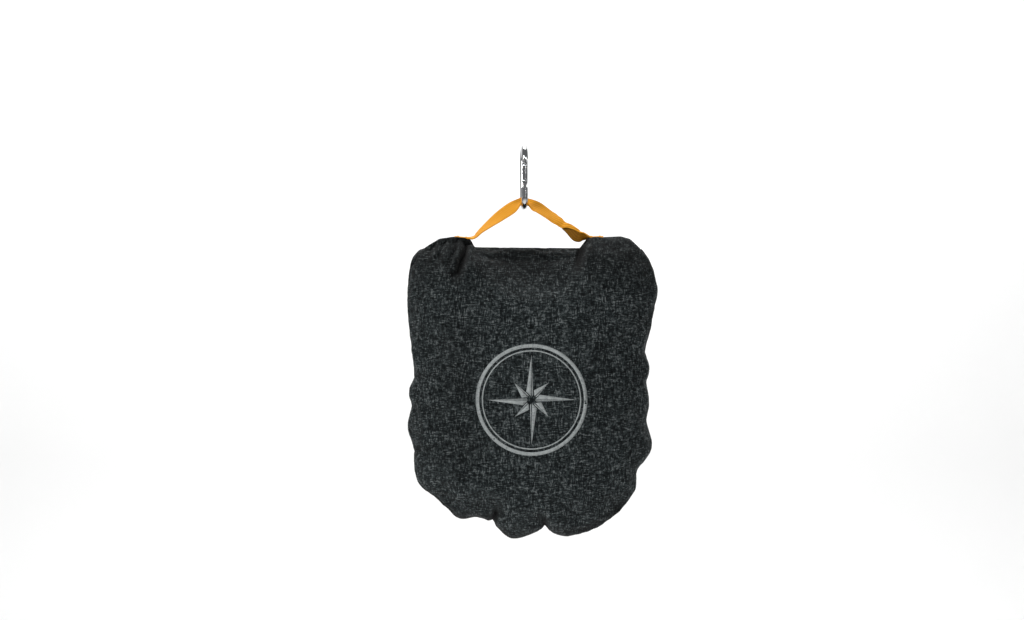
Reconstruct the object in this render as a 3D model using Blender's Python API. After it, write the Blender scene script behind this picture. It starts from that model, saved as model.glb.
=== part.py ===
"""Camp pillow, folded and stuffed into its own zipped pouch, hanging by its webbing loop from a snap hook.

Frame: the origin is the inside of the snap hook's crown, where whatever holds the pillow up bears on it.
+Z is up, the pouch's plain front faces -Y and its zipped back faces +Y. Sizes are in millimetres and
angles in degrees; every mesh is scaled to metres as it is made.
"""

import math

import bmesh
import bpy
import numpy as np
from mathutils import Matrix

MM = 0.001
GAP = 0.3  # between pieces that touch

# Snap hook: round steel wire bent to a pear, with a sprung gate on its front side
WIRE = 6.4
HOOK_LENGTH = 67.8
CROWN_RADIUS = 12.5  # of the wire's centreline
BASKET_RADIUS = 10.5
HOOK_YAW = 4.5
WIRE_SIDES = 14
GATE_RADIUS = 2.9
GATE_PIVOT_RISE = 14.2  # from the end of the basket's bend to the rivet
RIVET_RADIUS = 1.2
LATCH_PIN_RADIUS = 0.9
LATCH_PIN_DROP = 3.2  # below the gate's top end
TONGUE_THICKNESS = 2.4
SPRING_TURNS = 6
SPRING_WIRE = 0.5
SPRING_BORE_RADIUS = 1.75
SPRING_BORE_LENGTH = 14.0
PLUNGER_RADIUS = 1.4

# Pouch: two crowned panels, sewn together round the seam line below
POUCH_WIDTH = 254.0
POUCH_HEIGHT = 307.5
FRONT_DEPTH = 57.0
BACK_DEPTH = 57.0
FABRIC = 1.2
POUCH_OFFSET = 8.75  # the pouch's middle hangs this far to the right of the hook
LOOP_DROP = 31.5  # from the basket's wire down to the top of the pouch's ears
CROWN_POWER = 2.4
BELLY = 0.05  # the filling sinks: share by which the bottom is deeper than the middle
SCALLOP_FADE = 6
SMOOTHING_PASSES = 10
SEAM_STEP = 12.0
FRONT_RINGS = (1.0, 0.98, 0.92, 0.8, 0.6, 0.34)
BACK_RINGS = (1.0, 0.98, 0.92, 0.83, 0.74, 0.66, 0.6, 0.53, 0.45, 0.25)
SEAM_TAPE_WIDTH = 3.0
SEAM_TAPE_THICKNESS = 0.8

# The seam line, clockwise from the left end of the mouth: across from the middle, down from the top of
# the ears, drawn on a pouch of OUTLINE_WIDTH x OUTLINE_HEIGHT. The seam is pinched in at each PINCH.
OUTLINE_WIDTH = 254.0
OUTLINE_HEIGHT = 307.5
ROUND, PINCH = False, True
SEAM_LINE = (
    (-60, 10.5, PINCH), (49, 11.5, PINCH), (57, 0.5, PINCH), (81, 0, ROUND), (99.5, 2, ROUND),
    (118.5, 25, ROUND), (126.5, 55, ROUND), (122.5, 79.5, ROUND), (114.5, 117.5, PINCH),
    (119, 134, ROUND), (116, 148, PINCH), (119, 168, ROUND), (116, 187.5, PINCH),
    (121, 214.5, ROUND), (106, 239.5, PINCH), (104, 257.5, ROUND), (88, 278, PINCH),
    (65.5, 295, ROUND), (34.5, 304.5, ROUND), (14, 299, PINCH), (2.5, 302, ROUND),
    (-19, 307.5, ROUND), (-34.5, 298, ROUND), (-40.5, 288.5, PINCH), (-48, 288.5, ROUND),
    (-57, 286, PINCH), (-74.5, 287.5, ROUND), (-88, 276, ROUND), (-99.5, 266, PINCH),
    (-115.5, 251, ROUND), (-120.5, 232, ROUND), (-120.5, 218.5, PINCH), (-127, 194, ROUND),
    (-123, 172, PINCH), (-126, 158, ROUND), (-120, 142, PINCH), (-124, 107, ROUND),
    (-127, 66, ROUND), (-125, 35, ROUND), (-121, 20, ROUND), (-108.5, 10, ROUND),
    (-95, 2, ROUND), (-80, 0, ROUND), (-64.5, 1.5, PINCH),
)
LEFT_EAR_CORNER = len(SEAM_LINE) - 1
RIGHT_EAR_CORNER = 2

# Webbing loop: sewn to both ears, up and through the basket. Each arm is a list of stations: the share of
# the way from basket to ear, how far it bows up, and the webbing's slope at its front and rear edges.
WEBBING_WIDTH = 15.0
WEBBING_THICKNESS = 1.6
BASKET_SLOPES = (-48.0, 90.0)
LEFT_WRAP = 34.0
RIGHT_WRAP = 32.0
LEFT_ARM = (
    (0.08, 0.8, 5, 72), (0.19, 1.8, 46, 58), (0.41, 2.1, 45, 48),
    (0.66, 1.7, 28, 30), (0.85, 1.0, 16, 18), (1.0, 0.0, 16, 8),
)
RIGHT_ARM = (
    (0.11, 0.9, 20, 75), (0.21, 1.5, 28, 68), (0.385, 1.0, 42, 40), (0.53, 1.2, 52, 0),
    (0.67, 1.2, 45, -60), (0.81, 0.0, 22, -70), (1.0, 0.0, 0, -45),
)
STEPS_PER_STATION = 3
WEBBING_POINTS = 6
LEFT_LIFT = 1.2  # of the webbing where it leaves each ear
RIGHT_LIFT = 2.6
SEWN_REACH = 4.5  # the sewn end runs on past the ear's corner
SEWN_SLOPE = 8.0
SEWN_TURNS = ((6.0, 0.3), (9.0, 0.0), (14.5, 0.0), (20.0, 0.0))  # reach along the ear, share of the arm's twist
BAR_TACK_LENGTH = 12.0
BAR_TACK_WIDTH = 2.0
BAR_TACK_THICKNESS = 0.6
BAR_TACK_PLACES = (8.0, 16.5)  # along the sewn end from its free side

# Zip across the back: coil chain on two tapes, bent round the stuffing, with a slider that runs its length
ZIP_DROP = 62.0
ZIP_FACE = 48.0  # how far back the fabric stands at the middle of the zip
ZIP_CURVE = 290.0  # radius the zip is bent to, seen from above
ZIP_SPREAD = 24.0
ZIP_SLICES = 14
ZIP_SLOT_LENGTH = 170.0
ZIP_SLOT_HEIGHT = 9.2
TAPE_WIDTH = 10.0
TAPE_THICKNESS = 0.6
TAPE_OVERRUN = 6.0
TAPE_BELOW_FABRIC = 1.0
CHAIN_WIDTH = 5.3
CHAIN_THICKNESS = 1.8
CHAIN_SPLIT = 0.9
STOP_LENGTH = 2.6
SLIDER_LENGTH = 10.0
SLIDER_WIDTH = 7.8
SLIDER_PLATE = 1.0
SLIDER_CLEARANCE = 0.35
SLIDER_FLANGE = 0.8
BRIDGE_HEIGHT = 2.2
BRIDGE_THICKNESS = 1.0
BRIDGE_WIDTH = 1.5
BRIDGE_LENGTH = 6.4
PULL_LENGTH = 24.0
PULL_WIDTH = 5.2
PULL_THICKNESS = 1.1
PULL_BAR = 1.2

# The pillow inside: foam in a liner in a cover, folded in two with the fold at the bottom
PILLOW_INSET = 11.0
PILLOW_FRONT_GAP = 0.7
PILLOW_BACK_GAP = 5.4
PILLOW_FRONT_RINGS = (1.0, 0.96, 0.86, 0.66, 0.36)
PILLOW_BACK_RINGS = (0.96, 0.86, 0.76, 0.66, 0.56, 0.3)
COVER_THICKNESS = 1.0
LINER_THICKNESS = 0.8
FOLD_SLOT = 7.0  # between the two leaves of foam
FOLD_RISE = 46.0  # from the bottom of the pillow to the end of the slot
MOUTH_MARGIN = 36.0  # the slot stops this far from the pillow's sides


# ---------------------------------------------------------------- scene, materials and mesh helpers


def clear_scene():
    for obj in list(bpy.data.objects):
        bpy.data.objects.remove(obj)


def material(name, colour, roughness, metallic=0.0):
    made = bpy.data.materials.new(name)
    made.use_nodes = True
    shader = made.node_tree.nodes["Principled BSDF"]
    shader.inputs["Base Color"].default_value = (*colour, 1.0)
    shader.inputs["Roughness"].default_value = roughness
    shader.inputs["Metallic"].default_value = metallic
    return made


def solid(name, verts, faces, finish, parent=None):
    """An object from points in millimetres. With a parent, the points are in the parent's own frame."""
    mesh = bpy.data.meshes.new(name)
    mesh.from_pydata([tuple(float(c) * MM for c in v) for v in verts], [], faces)
    shape = bmesh.new()
    shape.from_mesh(mesh)
    bmesh.ops.recalc_face_normals(shape, faces=shape.faces)
    shape.to_mesh(mesh)
    shape.free()
    mesh.materials.append(finish)
    obj = bpy.data.objects.new(name, mesh)
    bpy.context.scene.collection.objects.link(obj)
    obj.parent = parent
    return obj


def empty(name, place, turn=None, parent=None):
    obj = bpy.data.objects.new(name, None)
    bpy.context.scene.collection.objects.link(obj)
    obj.parent = parent
    spot = Matrix.Translation([c * MM for c in place])
    obj.matrix_local = spot @ turn.to_4x4() if turn is not None else spot
    return obj


def hang_on(obj, holder):
    """Parents obj to an empty on a joint's axis, leaving it where it is in the world."""
    bpy.context.view_layer.update()
    obj.parent = holder
    obj.matrix_parent_inverse = holder.matrix_world.inverted()


def grid_faces(rows, cols, first=0, wrap=False):
    """Triangles between the rows of a grid whose points are numbered row by row from first."""
    faces = []
    for r in range(rows if wrap else rows - 1):
        a, b = first + r * cols, first + (r + 1) % rows * cols
        for c in range(cols - 1):
            faces += [(a + c, a + c + 1, b + c + 1), (a + c, b + c + 1, b + c)]
    return faces


def sheet(name, top, bottom, finish, parent=None, wrap=False):
    """A closed slab between two grids of points. With wrap, the last row joins the first."""
    rows, cols = len(top), len(top[0])
    under = rows * cols
    verts = [p for row in top for p in row] + [p for row in bottom for p in row]
    faces = grid_faces(rows, cols, 0, wrap) + [f[::-1] for f in grid_faces(rows, cols, under, wrap)]
    for r in range(rows if wrap else rows - 1):
        a, b = r * cols, (r + 1) % rows * cols
        faces.append((a, b, b + under, a + under))
        faces.append((a + cols - 1, a + cols - 1 + under, b + cols - 1 + under, b + cols - 1))
    if not wrap:
        for c in range(cols - 1):
            end = (rows - 1) * cols + c
            faces.append((c, c + under, c + 1 + under, c + 1))
            faces.append((end, end + 1, end + 1 + under, end + under))
    return solid(name, verts, faces, finish, parent)


def loft(name, rings, finish, parent=None):
    """A closed body through rings of points. An end ring is capped, or is a single point.

    Every four-sided gap is split from its wider ring, so bodies nested in each other are split alike.
    """
    verts, starts, spans = [], [], []
    for ring in rings:
        starts.append(len(verts))
        verts.extend(ring)
        spans.append(float(np.ptp(np.array(ring, float), axis=0).sum()))
    faces = []
    for i in range(len(rings) - 1):
        a, b, n, m = starts[i], starts[i + 1], len(rings[i]), len(rings[i + 1])
        around = max(n, m)
        for k in range(around):
            k2 = (k + 1) % around
            if n == 1:
                faces.append((a, b + k2, b + k))
            elif m == 1:
                faces.append((a + k, a + k2, b))
            elif spans[i] >= spans[i + 1]:
                faces += [(a + k, a + k2, b + k2), (a + k, b + k2, b + k)]
            else:
                faces += [(a + k, a + k2, b + k), (a + k2, b + k2, b + k)]
    for ring, start in ((rings[0], starts[0]), (rings[-1], starts[-1])):
        if len(ring) > 1:
            faces.append(tuple(range(start, start + len(ring))))
    return solid(name, verts, faces, finish, parent)


def block(name, low, high, finish, parent=None):
    x, y, z = zip(low, high)
    rings = [[(a, y[0], z[0]), (a, y[1], z[0]), (a, y[1], z[1]), (a, y[0], z[1])] for a in x]
    return loft(name, rings, finish, parent)


def rod(name, start, end, radius, sides, finish, parent=None):
    """A cylinder between two points."""
    start, end = np.array(start, float), np.array(end, float)
    along = (end - start) / np.linalg.norm(end - start)
    side = np.cross(along, [0.0, 0.0, 1.0] if abs(along[2]) < 0.9 else [1.0, 0.0, 0.0])
    side /= np.linalg.norm(side)
    up = np.cross(along, side)
    turns = [2 * math.pi * k / sides for k in range(sides)]
    rings = [[p + radius * (math.cos(t) * side + math.sin(t) * up) for t in turns] for p in (start, end)]
    return loft(name, rings, finish, parent)


def prism(name, outline, low, high, finish, parent=None, axis=1):
    """An outline of two coordinates, pushed from low to high along the third."""
    rings = [[np.insert(np.array(p, float), axis, h) for p in outline] for h in (low, high)]
    return loft(name, rings, finish, parent)


def combine(obj, tool, operation):
    """A Boolean with a helper that isn't a part of its own."""
    tool.hide_render = True
    tool.display_type = "WIRE"
    modifier = obj.modifiers.new(tool.name, "BOOLEAN")
    modifier.operation = operation
    modifier.solver = "EXACT"
    modifier.object = tool


def round_off(obj, width, segments=2):
    modifier = obj.modifiers.new("edges", "BEVEL")
    modifier.width = width * MM
    modifier.segments = segments
    modifier.limit_method = "ANGLE"


def smooth(obj, angle=40.0):
    obj.data.shade_smooth()
    obj.data.set_sharp_from_angle(angle=math.radians(angle))


# ---------------------------------------------------------------- the pouch's shape


def seam_points():
    """The seam line in world X and Z, about SEAM_STEP apart, as (n, 2)."""
    knots = np.array([(x, -drop) for x, drop, _ in SEAM_LINE], float)
    knots *= (POUCH_WIDTH / OUTLINE_WIDTH, POUCH_HEIGHT / OUTLINE_HEIGHT)
    knots += (POUCH_OFFSET, POUCH_TOP)
    count = len(knots)
    points = []
    for i in range(count):
        start, end = knots[i], knots[(i + 1) % count]
        leave = end - start if SEAM_LINE[i][2] else (end - knots[i - 1]) / 2
        arrive = end - start
        if not SEAM_LINE[(i + 1) % count][2]:
            arrive = (knots[(i + 2) % count] - start) / 2
        steps = max(1, round(np.linalg.norm(end - start) / SEAM_STEP))
        for t in np.arange(steps) / steps:
            points.append(
                (2 * t**3 - 3 * t**2 + 1) * start
                + (t**3 - 2 * t**2 + t) * leave
                + (3 * t**2 - 2 * t**3) * end
                + (t**3 - t**2) * arrive
            )
    return np.array(points)


def smoothed(points):
    for _ in range(SMOOTHING_PASSES):
        points = (np.roll(points, 1, 0) + 2 * points + np.roll(points, -1, 0)) / 4
    return points


def pulled_in(outline, distance):
    """The outline moved inwards, square to itself."""
    ahead = np.roll(outline, -1, 0) - outline
    ahead /= np.linalg.norm(ahead, axis=1)[:, None]
    inwards = np.stack([ahead[:, 1], -ahead[:, 0]], 1)
    both = inwards + np.roll(inwards, 1, 0)
    both /= np.linalg.norm(both, axis=1)[:, None]
    mitre = np.maximum((both * inwards).sum(1), 0.6)
    return outline + both * (distance / mitre)[:, None]


def zip_level(x):
    """How far the bent zip falls forward of its own middle, at x."""
    return ZIP_CURVE - math.sqrt(max(ZIP_CURVE**2 - (x - POUCH_OFFSET) ** 2, 0.0))


def zip_pull_in(x, z, depth, face):
    """How far back a point of the back panel stands once the zip has pulled it to its own curve."""
    near = math.exp(-(((z - ZIP_Z) / ZIP_SPREAD) ** 4))
    inside = 1 / (1 + math.exp((abs(x - POUCH_OFFSET) - ZIP_SLOT_LENGTH / 2 - 18) / 3))
    return depth + (face - zip_level(x) - depth) * near * inside


def crown_ring(outline, share, depth, side, inset=0.0, face=None):
    """One ring of a crowned panel: share 1 is at the seam. side is -1 for the front and 1 for the back."""
    ring = []
    for x, z in POUCH_CENTRE + (pulled_in(outline, inset) - POUCH_CENTRE) * share:
        belly = 1 + BELLY * (POUCH_CENTRE[1] - z) / (POUCH_HEIGHT / 2)
        stands = max(depth * belly * (1 - share**CROWN_POWER) ** 0.5, GAP / 2)
        if face is not None and share < 1:
            stands = zip_pull_in(x, z, stands, face)
        ring.append((x, side * stands, z))
    return ring


def panel(name, depth, side, shares, finish, face=None):
    """A crowned sheet of fabric, from the seam to a pole in the middle of the pouch."""
    rings = []
    for inset, rim_first in ((FABRIC, False), (0.0, True)):
        wall = []
        for share in shares:
            outline = SMOOTH_SEAM + (SEAM - SMOOTH_SEAM) * share**SCALLOP_FADE
            level = None if face is None else face - inset
            wall.append(crown_ring(outline, share, depth - inset, side, inset, level))
        wall.append([(POUCH_CENTRE[0], side * (depth - inset), POUCH_CENTRE[1])])
        rings.extend(wall if rim_first else wall[::-1])
    return loft(name, rings, finish)


def ear_top(x):
    """Height of the seam on top of either ear."""
    top = SEAM[SEAM[:, 1] > POUCH_TOP - 30]
    top = top[np.argsort(top[:, 0])]
    return float(np.interp(x, top[:, 0], top[:, 1]))


def step_cutter(name, upwards):
    """Takes away all of the back panel on one side of the zip's seam, and half of the slot on the other."""
    sign = 1 if upwards else -1
    half, far = ZIP_SLOT_LENGTH / 2, POUCH_WIDTH
    steps = ((-far, GAP / 2), (-half, GAP / 2), (-half, ZIP_SLOT_HEIGHT / 2))
    outline = [(POUCH_OFFSET + x, ZIP_Z + sign * z) for x, z in steps]
    outline += [(POUCH_OFFSET - x, ZIP_Z + sign * z) for x, z in steps[::-1]]
    outline += [(POUCH_OFFSET + far, ZIP_Z - sign * POUCH_HEIGHT * 2)]
    outline += [(POUCH_OFFSET - far, ZIP_Z - sign * POUCH_HEIGHT * 2)]
    return prism(name, outline, -10, BACK_DEPTH * 2, FABRIC_FINISH)


def build_panels():
    front = panel("front_panel", FRONT_DEPTH, -1, FRONT_RINGS, FABRIC_FINISH)
    upper = panel("back_upper_panel", BACK_DEPTH, 1, BACK_RINGS, FABRIC_FINISH, ZIP_FACE)
    combine(upper, step_cutter("upper_panel_cutter", True), "DIFFERENCE")
    lower = panel("back_lower_panel", BACK_DEPTH, 1, BACK_RINGS, FABRIC_FINISH, ZIP_FACE)
    combine(lower, step_cutter("lower_panel_cutter", False), "DIFFERENCE")
    return [front, upper, lower]


def build_seam_tape():
    """The bound seam allowance, a ring that stands inwards all round the pouch."""
    outer = FABRIC + 3 * GAP
    edges = [pulled_in(SEAM, inset) for inset in (outer, outer + SEAM_TAPE_WIDTH)]
    half = SEAM_TAPE_THICKNESS / 2
    front, back = ([[(e[k][0], y, e[k][1]) for e in edges] for k in range(len(SEAM))] for y in (-half, half))
    return [sheet("seam_tape", front, back, TAPE_FINISH, wrap=True)]


# ---------------------------------------------------------------- the webbing loop


def webbing_section(slopes, points=WEBBING_POINTS):
    """Points across the webbing as (sideways, up, slope), measured from its middle. Slope turns evenly."""
    front, rear = (math.radians(a) for a in slopes)
    across = np.linspace(-WEBBING_WIDTH / 2, WEBBING_WIDTH / 2, 2 * points - 1)
    slope = front + (rear - front) * (across / WEBBING_WIDTH + 0.5)
    step = across[1] - across[0]
    middle = (slope[1:] + slope[:-1]) / 2
    side = np.concatenate([[0], np.cumsum(np.cos(middle)) * step])
    up = np.concatenate([[0], np.cumsum(np.sin(middle)) * step])
    side, up = side - side[points - 1], up - up[points - 1]
    return [(side[i], up[i], slope[i]) for i in range(0, len(across), 2)]


def smooth_stations(stations):
    """Catmull-Rom points through the stations, STEPS_PER_STATION to each gap."""
    rows = np.array(stations, float)
    padded = np.vstack([2 * rows[0] - rows[1], rows, 2 * rows[-1] - rows[-2]])
    made = []
    for i in range(len(rows) - 1):
        a, b, c, d = padded[i : i + 4]
        for t in np.arange(STEPS_PER_STATION) / STEPS_PER_STATION:
            made.append(
                0.5 * (2 * b + (c - a) * t + (2 * a - 5 * b + 4 * c - d) * t**2 + (3 * b - a - 3 * c + d) * t**3)
            )
    return np.array(made + [rows[-1]])


def webbing_rows(stations, upright):
    """Top and bottom rows of points through stations of (x, y, z, yaw, front slope, rear slope).

    The stations whose numbers are in upright are cut square to X, so two bodies can turn there about X.
    """
    route = stations[:, (0, 2)]
    heading = np.gradient(route, axis=0)
    heading /= np.linalg.norm(heading, axis=1)[:, None]
    heading[upright] = (1.0, 0.0)
    rows = []
    for (x, y, z, yaw, front, rear), (run, rise) in zip(stations, heading):
        turn = math.radians(yaw)
        rearwards = np.array([-math.sin(turn), math.cos(turn), 0.0])
        upwards = np.array([-rise * math.cos(turn), -rise * math.sin(turn), run])
        top, bottom = [], []
        for side, up, slope in webbing_section((front, rear)):
            middle = np.array([x, y, z]) + side * rearwards + up * upwards
            out = math.cos(slope) * upwards - math.sin(slope) * rearwards
            top.append(middle + out * WEBBING_THICKNESS / 2)
            bottom.append(middle - out * WEBBING_THICKNESS / 2)
        rows.append((np.array(top), np.array(bottom), np.array([run, 0.0, rise])))
    return rows


def webbing(name, rows, parent):
    """A length of the webbing, cut GAP short where it goes on as another piece."""
    top = [row[0] for row in rows]
    bottom = [row[1] for row in rows]
    for end, sign in ((0, 1), (-1, -1)):
        shift = sign * rows[end][2] * GAP / 2
        top[end], bottom[end] = top[end] + shift, bottom[end] + shift
    obj = sheet(name, top, bottom, WEBBING_FINISH)
    hang_on(obj, parent)
    smooth(obj, 60)
    return obj


def basket_station(turn):
    """A station of the webbing where it lies cupped in the basket, turned about the basket's wire."""
    cup = BASKET_RADIUS - WIRE / 2 - GAP - WEBBING_THICKNESS / 2
    lean = math.radians(sum(BASKET_SLOPES) / 2)
    rearwards = cup * math.sin(lean)
    rise = BASKET_RADIUS - cup * math.cos(lean)
    angle = math.radians(turn)
    across, up = rise * math.sin(angle), rise * math.cos(angle)
    yaw = math.radians(HOOK_YAW)
    x = across * math.cos(yaw) - rearwards * math.sin(yaw)
    y = across * math.sin(yaw) + rearwards * math.cos(yaw)
    return [x, y, BASKET_Z + up, HOOK_YAW, *BASKET_SLOPES]


def arm_stations(start, end, arm):
    """Stations of one arm, from just past the basket to where it meets its sewn end."""
    start, end = np.array(start[:4]), np.array([*end, 0.0])
    run, _, rise, _ = end - start
    length = math.hypot(run, rise)
    up = np.array([-rise, 0, run, 0]) / length * math.copysign(1, run)
    return [[*(start + (end - start) * share + up * bow), front, rear] for share, bow, front, rear in arm]


def sewn_stations(corner, away, slopes):
    """Stations of a sewn end, out along the top of its ear. away is -1 on the left."""
    rest = GAP + WEBBING_THICKNESS / 2
    flat = (SEWN_SLOPE, -SEWN_SLOPE)
    rows = []
    for reach, turn in SEWN_TURNS:
        x = corner + away * (reach - SEWN_REACH)
        mixed = [flat[i] + (slopes[i] - flat[i]) * turn for i in range(2)]
        rows.append([x, 0.0, ear_top(x) + rest + turn, 0.0, *mixed])
    return rows


def build_loop(loop_axis, pouch_axis):
    """The free loop, its two sewn ends and the bar tacks over them."""
    ends, corners = {}, {}
    for side, away, corner, lift in (
        ("left", -1, LEFT_EAR_CORNER, LEFT_LIFT),
        ("right", 1, RIGHT_EAR_CORNER, RIGHT_LIFT),
    ):
        x = POUCH_OFFSET + SEAM_LINE[corner][0] * POUCH_WIDTH / OUTLINE_WIDTH
        corners[side] = x
        ends[side] = (x - away * SEWN_REACH, 0.0, ear_top(x) + GAP + WEBBING_THICKNESS / 2 + lift)
    wrap = [basket_station(t) for t in np.linspace(-LEFT_WRAP, RIGHT_WRAP, 7)]
    left = arm_stations(wrap[0], ends["left"], LEFT_ARM)
    right = arm_stations(wrap[-1], ends["right"], RIGHT_ARM)
    left += sewn_stations(corners["left"], -1, LEFT_ARM[-1][2:])
    right += sewn_stations(corners["right"], 1, RIGHT_ARM[-1][2:])
    middle = np.array(wrap[1:-1])
    stations = np.vstack([
        smooth_stations(left[::-1] + [wrap[0]]), middle, smooth_stations([wrap[-1], *right])
    ])
    sewn = STEPS_PER_STATION * len(SEWN_TURNS)
    rows = webbing_rows(stations, [sewn, len(stations) - 1 - sewn])
    left_rows, free_rows, right_rows = rows[: sewn + 1], rows[sewn : -sewn], rows[-sewn - 1 :]
    made = [webbing("hang_loop", free_rows, loop_axis)]
    for side, away, rows in (("left", -1, left_rows), ("right", 1, right_rows)):
        made.append(webbing(f"sewn_end_{side}", rows, pouch_axis))
        top = [row[0] for row in rows]
        for place, word in zip(BAR_TACK_PLACES, ("inner", "outer")):
            x = ends[side][0] + away * place
            made.append(bar_tack(f"bar_tack_{side}_{word}", x, top, pouch_axis))
    return made


def bar_tack(name, x, webbing_top, parent):
    """A dense bar of thread across the sewn end, lying on its top face."""
    rows = []
    for edge in (x - BAR_TACK_WIDTH / 2, x + BAR_TACK_WIDTH / 2):
        row = []
        for y in np.linspace(-BAR_TACK_LENGTH / 2, BAR_TACK_LENGTH / 2, 7):
            heights = [np.interp(y, [p[1] for p in r], [p[2] for p in r]) for r in webbing_top]
            row.append((edge, y, float(np.interp(edge, [r[0][0] for r in webbing_top], heights))))
        rows.append(row)
    rest = 1.4 * GAP
    low = [[(px, py, pz + rest) for px, py, pz in row] for row in rows]
    high = [[(px, py, pz + rest + BAR_TACK_THICKNESS) for px, py, pz in row] for row in rows]
    obj = sheet(name, high, low, THREAD_FINISH)
    hang_on(obj, parent)
    return obj


# ---------------------------------------------------------------- the snap hook


def hook_route():
    """Centreline of the hook's wire in its own YZ plane, from the gate's rivet round to the gate's top."""
    shoulder = GATE_RADIUS + 1.1
    route = [PIVOT - GATE_UP * shoulder, PIVOT - GATE_UP * (shoulder + 3)]
    lean = math.asin(-TANGENT[1])
    for t in np.linspace(math.pi + lean, 2 * math.pi - lean, 15):
        route.append(BASKET_CENTRE + BASKET_RADIUS * np.array([math.cos(t), math.sin(t)]))
    for t in np.linspace(-lean, math.pi + lean, 17):
        route.append(CROWN_CENTRE + CROWN_RADIUS * np.array([math.cos(t), math.sin(t)]))
    return np.array(route)


def wire_rings(route, radius, sides):
    heading = np.gradient(route, axis=0)
    heading /= np.linalg.norm(heading, axis=1)[:, None]
    turns = [2 * math.pi * (k + 0.5) / sides for k in range(sides)]
    return [
        [
            (radius * math.cos(t), y - radius * math.sin(t) * dz, z + radius * math.sin(t) * dy)
            for t in turns
        ]
        for (y, z), (dy, dz) in zip(route, heading)
    ]


def build_hook(hook_frame, gate_axis):
    """The bent wire with a tongue at each end, and the gate with its rivet, latch pin, plunger and spring."""
    body = loft("hook_body", wire_rings(hook_route(), WIRE / 2, WIRE_SIDES), STEEL_FINISH, hook_frame)
    half = TONGUE_THICKNESS / 2
    tongue_radius = GATE_RADIUS - GAP
    arch = [(tongue_radius * math.cos(t), tongue_radius * math.sin(t)) for t in np.linspace(0, math.pi, 9)]
    foot = -(GATE_RADIUS + 2.2)
    lower = [(tongue_radius, foot), *arch, (-tongue_radius, foot)]
    combine(body, prism("lower_tongue", lower, -half, half, STEEL_FINISH, gate_axis, axis=0), "UNION")
    reach = 2.2
    nose = [(-reach, GATE_LENGTH + 1.8), (reach, GATE_LENGTH + 1.8), (reach, GATE_LENGTH - 4.8)]
    nose += [(-reach + 0.8, GATE_LENGTH - 4.8), (-reach, GATE_LENGTH - 4.0)]
    combine(body, prism("nose_tongue", nose, -half, half, STEEL_FINISH, gate_axis, axis=0), "UNION")
    hole = RIVET_RADIUS + GAP
    combine(body, rod("tongue_hole", (-4, 0, 0), (4, 0, 0), hole, 12, STEEL_FINISH, gate_axis), "DIFFERENCE")
    pin_z = GATE_LENGTH - LATCH_PIN_DROP
    notch = LATCH_PIN_RADIUS + GAP
    combine(
        body,
        block("latch_notch", (-4, -notch, pin_z - notch), (4, 6, pin_z + notch), STEEL_FINISH, gate_axis),
        "DIFFERENCE",
    )
    smooth(body)

    gate_rings = [[(0, 0, -GATE_RADIUS)]]
    for z in (*(-GATE_RADIUS * math.cos(math.radians(a)) for a in (30, 60, 90)), GATE_LENGTH - 0.6):
        radius = math.sqrt(GATE_RADIUS**2 - min(z, 0) ** 2)
        gate_rings.append(circle(radius, z, WIRE_SIDES))
    gate_rings.append(circle(GATE_RADIUS - 0.6, GATE_LENGTH, WIRE_SIDES))
    gate = loft("hook_gate", gate_rings, STEEL_FINISH, gate_axis)
    slot = half + GAP
    bore_top = GATE_RADIUS + SPRING_BORE_LENGTH
    cuts = (
        block("pivot_slot", (-slot, -5, -5), (slot, 5, tongue_radius + 2 * GAP), STEEL_FINISH, gate_axis),
        block("latch_slot", (-slot, -5, GATE_LENGTH - 5.6), (slot, 5, GATE_LENGTH + 2), STEEL_FINISH, gate_axis),
        rod("rivet_hole", (-4, 0, 0), (4, 0, 0), hole, 12, STEEL_FINISH, gate_axis),
        rod("pin_hole", (-4, 0, pin_z), (4, 0, pin_z), LATCH_PIN_RADIUS + GAP, 10, STEEL_FINISH, gate_axis),
        rod("spring_bore", (0, 0, 1), (0, 0, bore_top), SPRING_BORE_RADIUS, 12, STEEL_FINISH, gate_axis),
    )
    for cutter in cuts:
        combine(gate, cutter, "DIFFERENCE")
    smooth(gate)

    cheek = GATE_RADIUS - 0.35
    rivet = rod("gate_rivet", (-cheek, 0, 0), (cheek, 0, 0), RIVET_RADIUS, 12, STEEL_FINISH, gate_axis)
    pin_reach = GATE_RADIUS - 0.2
    pin = rod("latch_pin", (-pin_reach, 0, pin_z), (pin_reach, 0, pin_z), LATCH_PIN_RADIUS, 10, STEEL_FINISH, gate_axis)
    tip = tongue_radius + GAP
    seat = tip + 2.4
    plunger = loft(
        "gate_plunger",
        [circle(0.7, tip, 10), circle(PLUNGER_RADIUS, tip + 0.8, 10), circle(PLUNGER_RADIUS, seat, 10)],
        STEEL_FINISH,
        gate_axis,
    )
    spring = coil_spring("gate_spring", seat + GAP, bore_top - GAP, gate_axis)
    return [body, gate, rivet, pin, plunger, spring]


def circle(radius, z, sides):
    turns = [2 * math.pi * (k + 0.5) / sides for k in range(sides)]
    return [(radius * math.cos(t), radius * math.sin(t), z) for t in turns]


def coil_spring(name, low, high, parent):
    """A compression spring along the gate's bore."""
    steps = 9 * SPRING_TURNS
    radius = SPRING_BORE_RADIUS - GAP - SPRING_WIRE / 2
    rings = []
    for i in range(steps + 1):
        t = 2 * math.pi * SPRING_TURNS * i / steps
        z = low + SPRING_WIRE / 2 + (high - low - SPRING_WIRE) * i / steps
        out = np.array([math.cos(t), math.sin(t), 0.0])
        middle = radius * out + np.array([0, 0, z])
        corners = [math.pi / 4 + k * math.pi / 2 for k in range(4)]
        rings.append(
            [middle + SPRING_WIRE / 2 * (math.cos(c) * out + np.array([0, 0, math.sin(c)])) for c in corners]
        )
    return loft(name, rings, STEEL_FINISH, parent)


# ---------------------------------------------------------------- the zip


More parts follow.
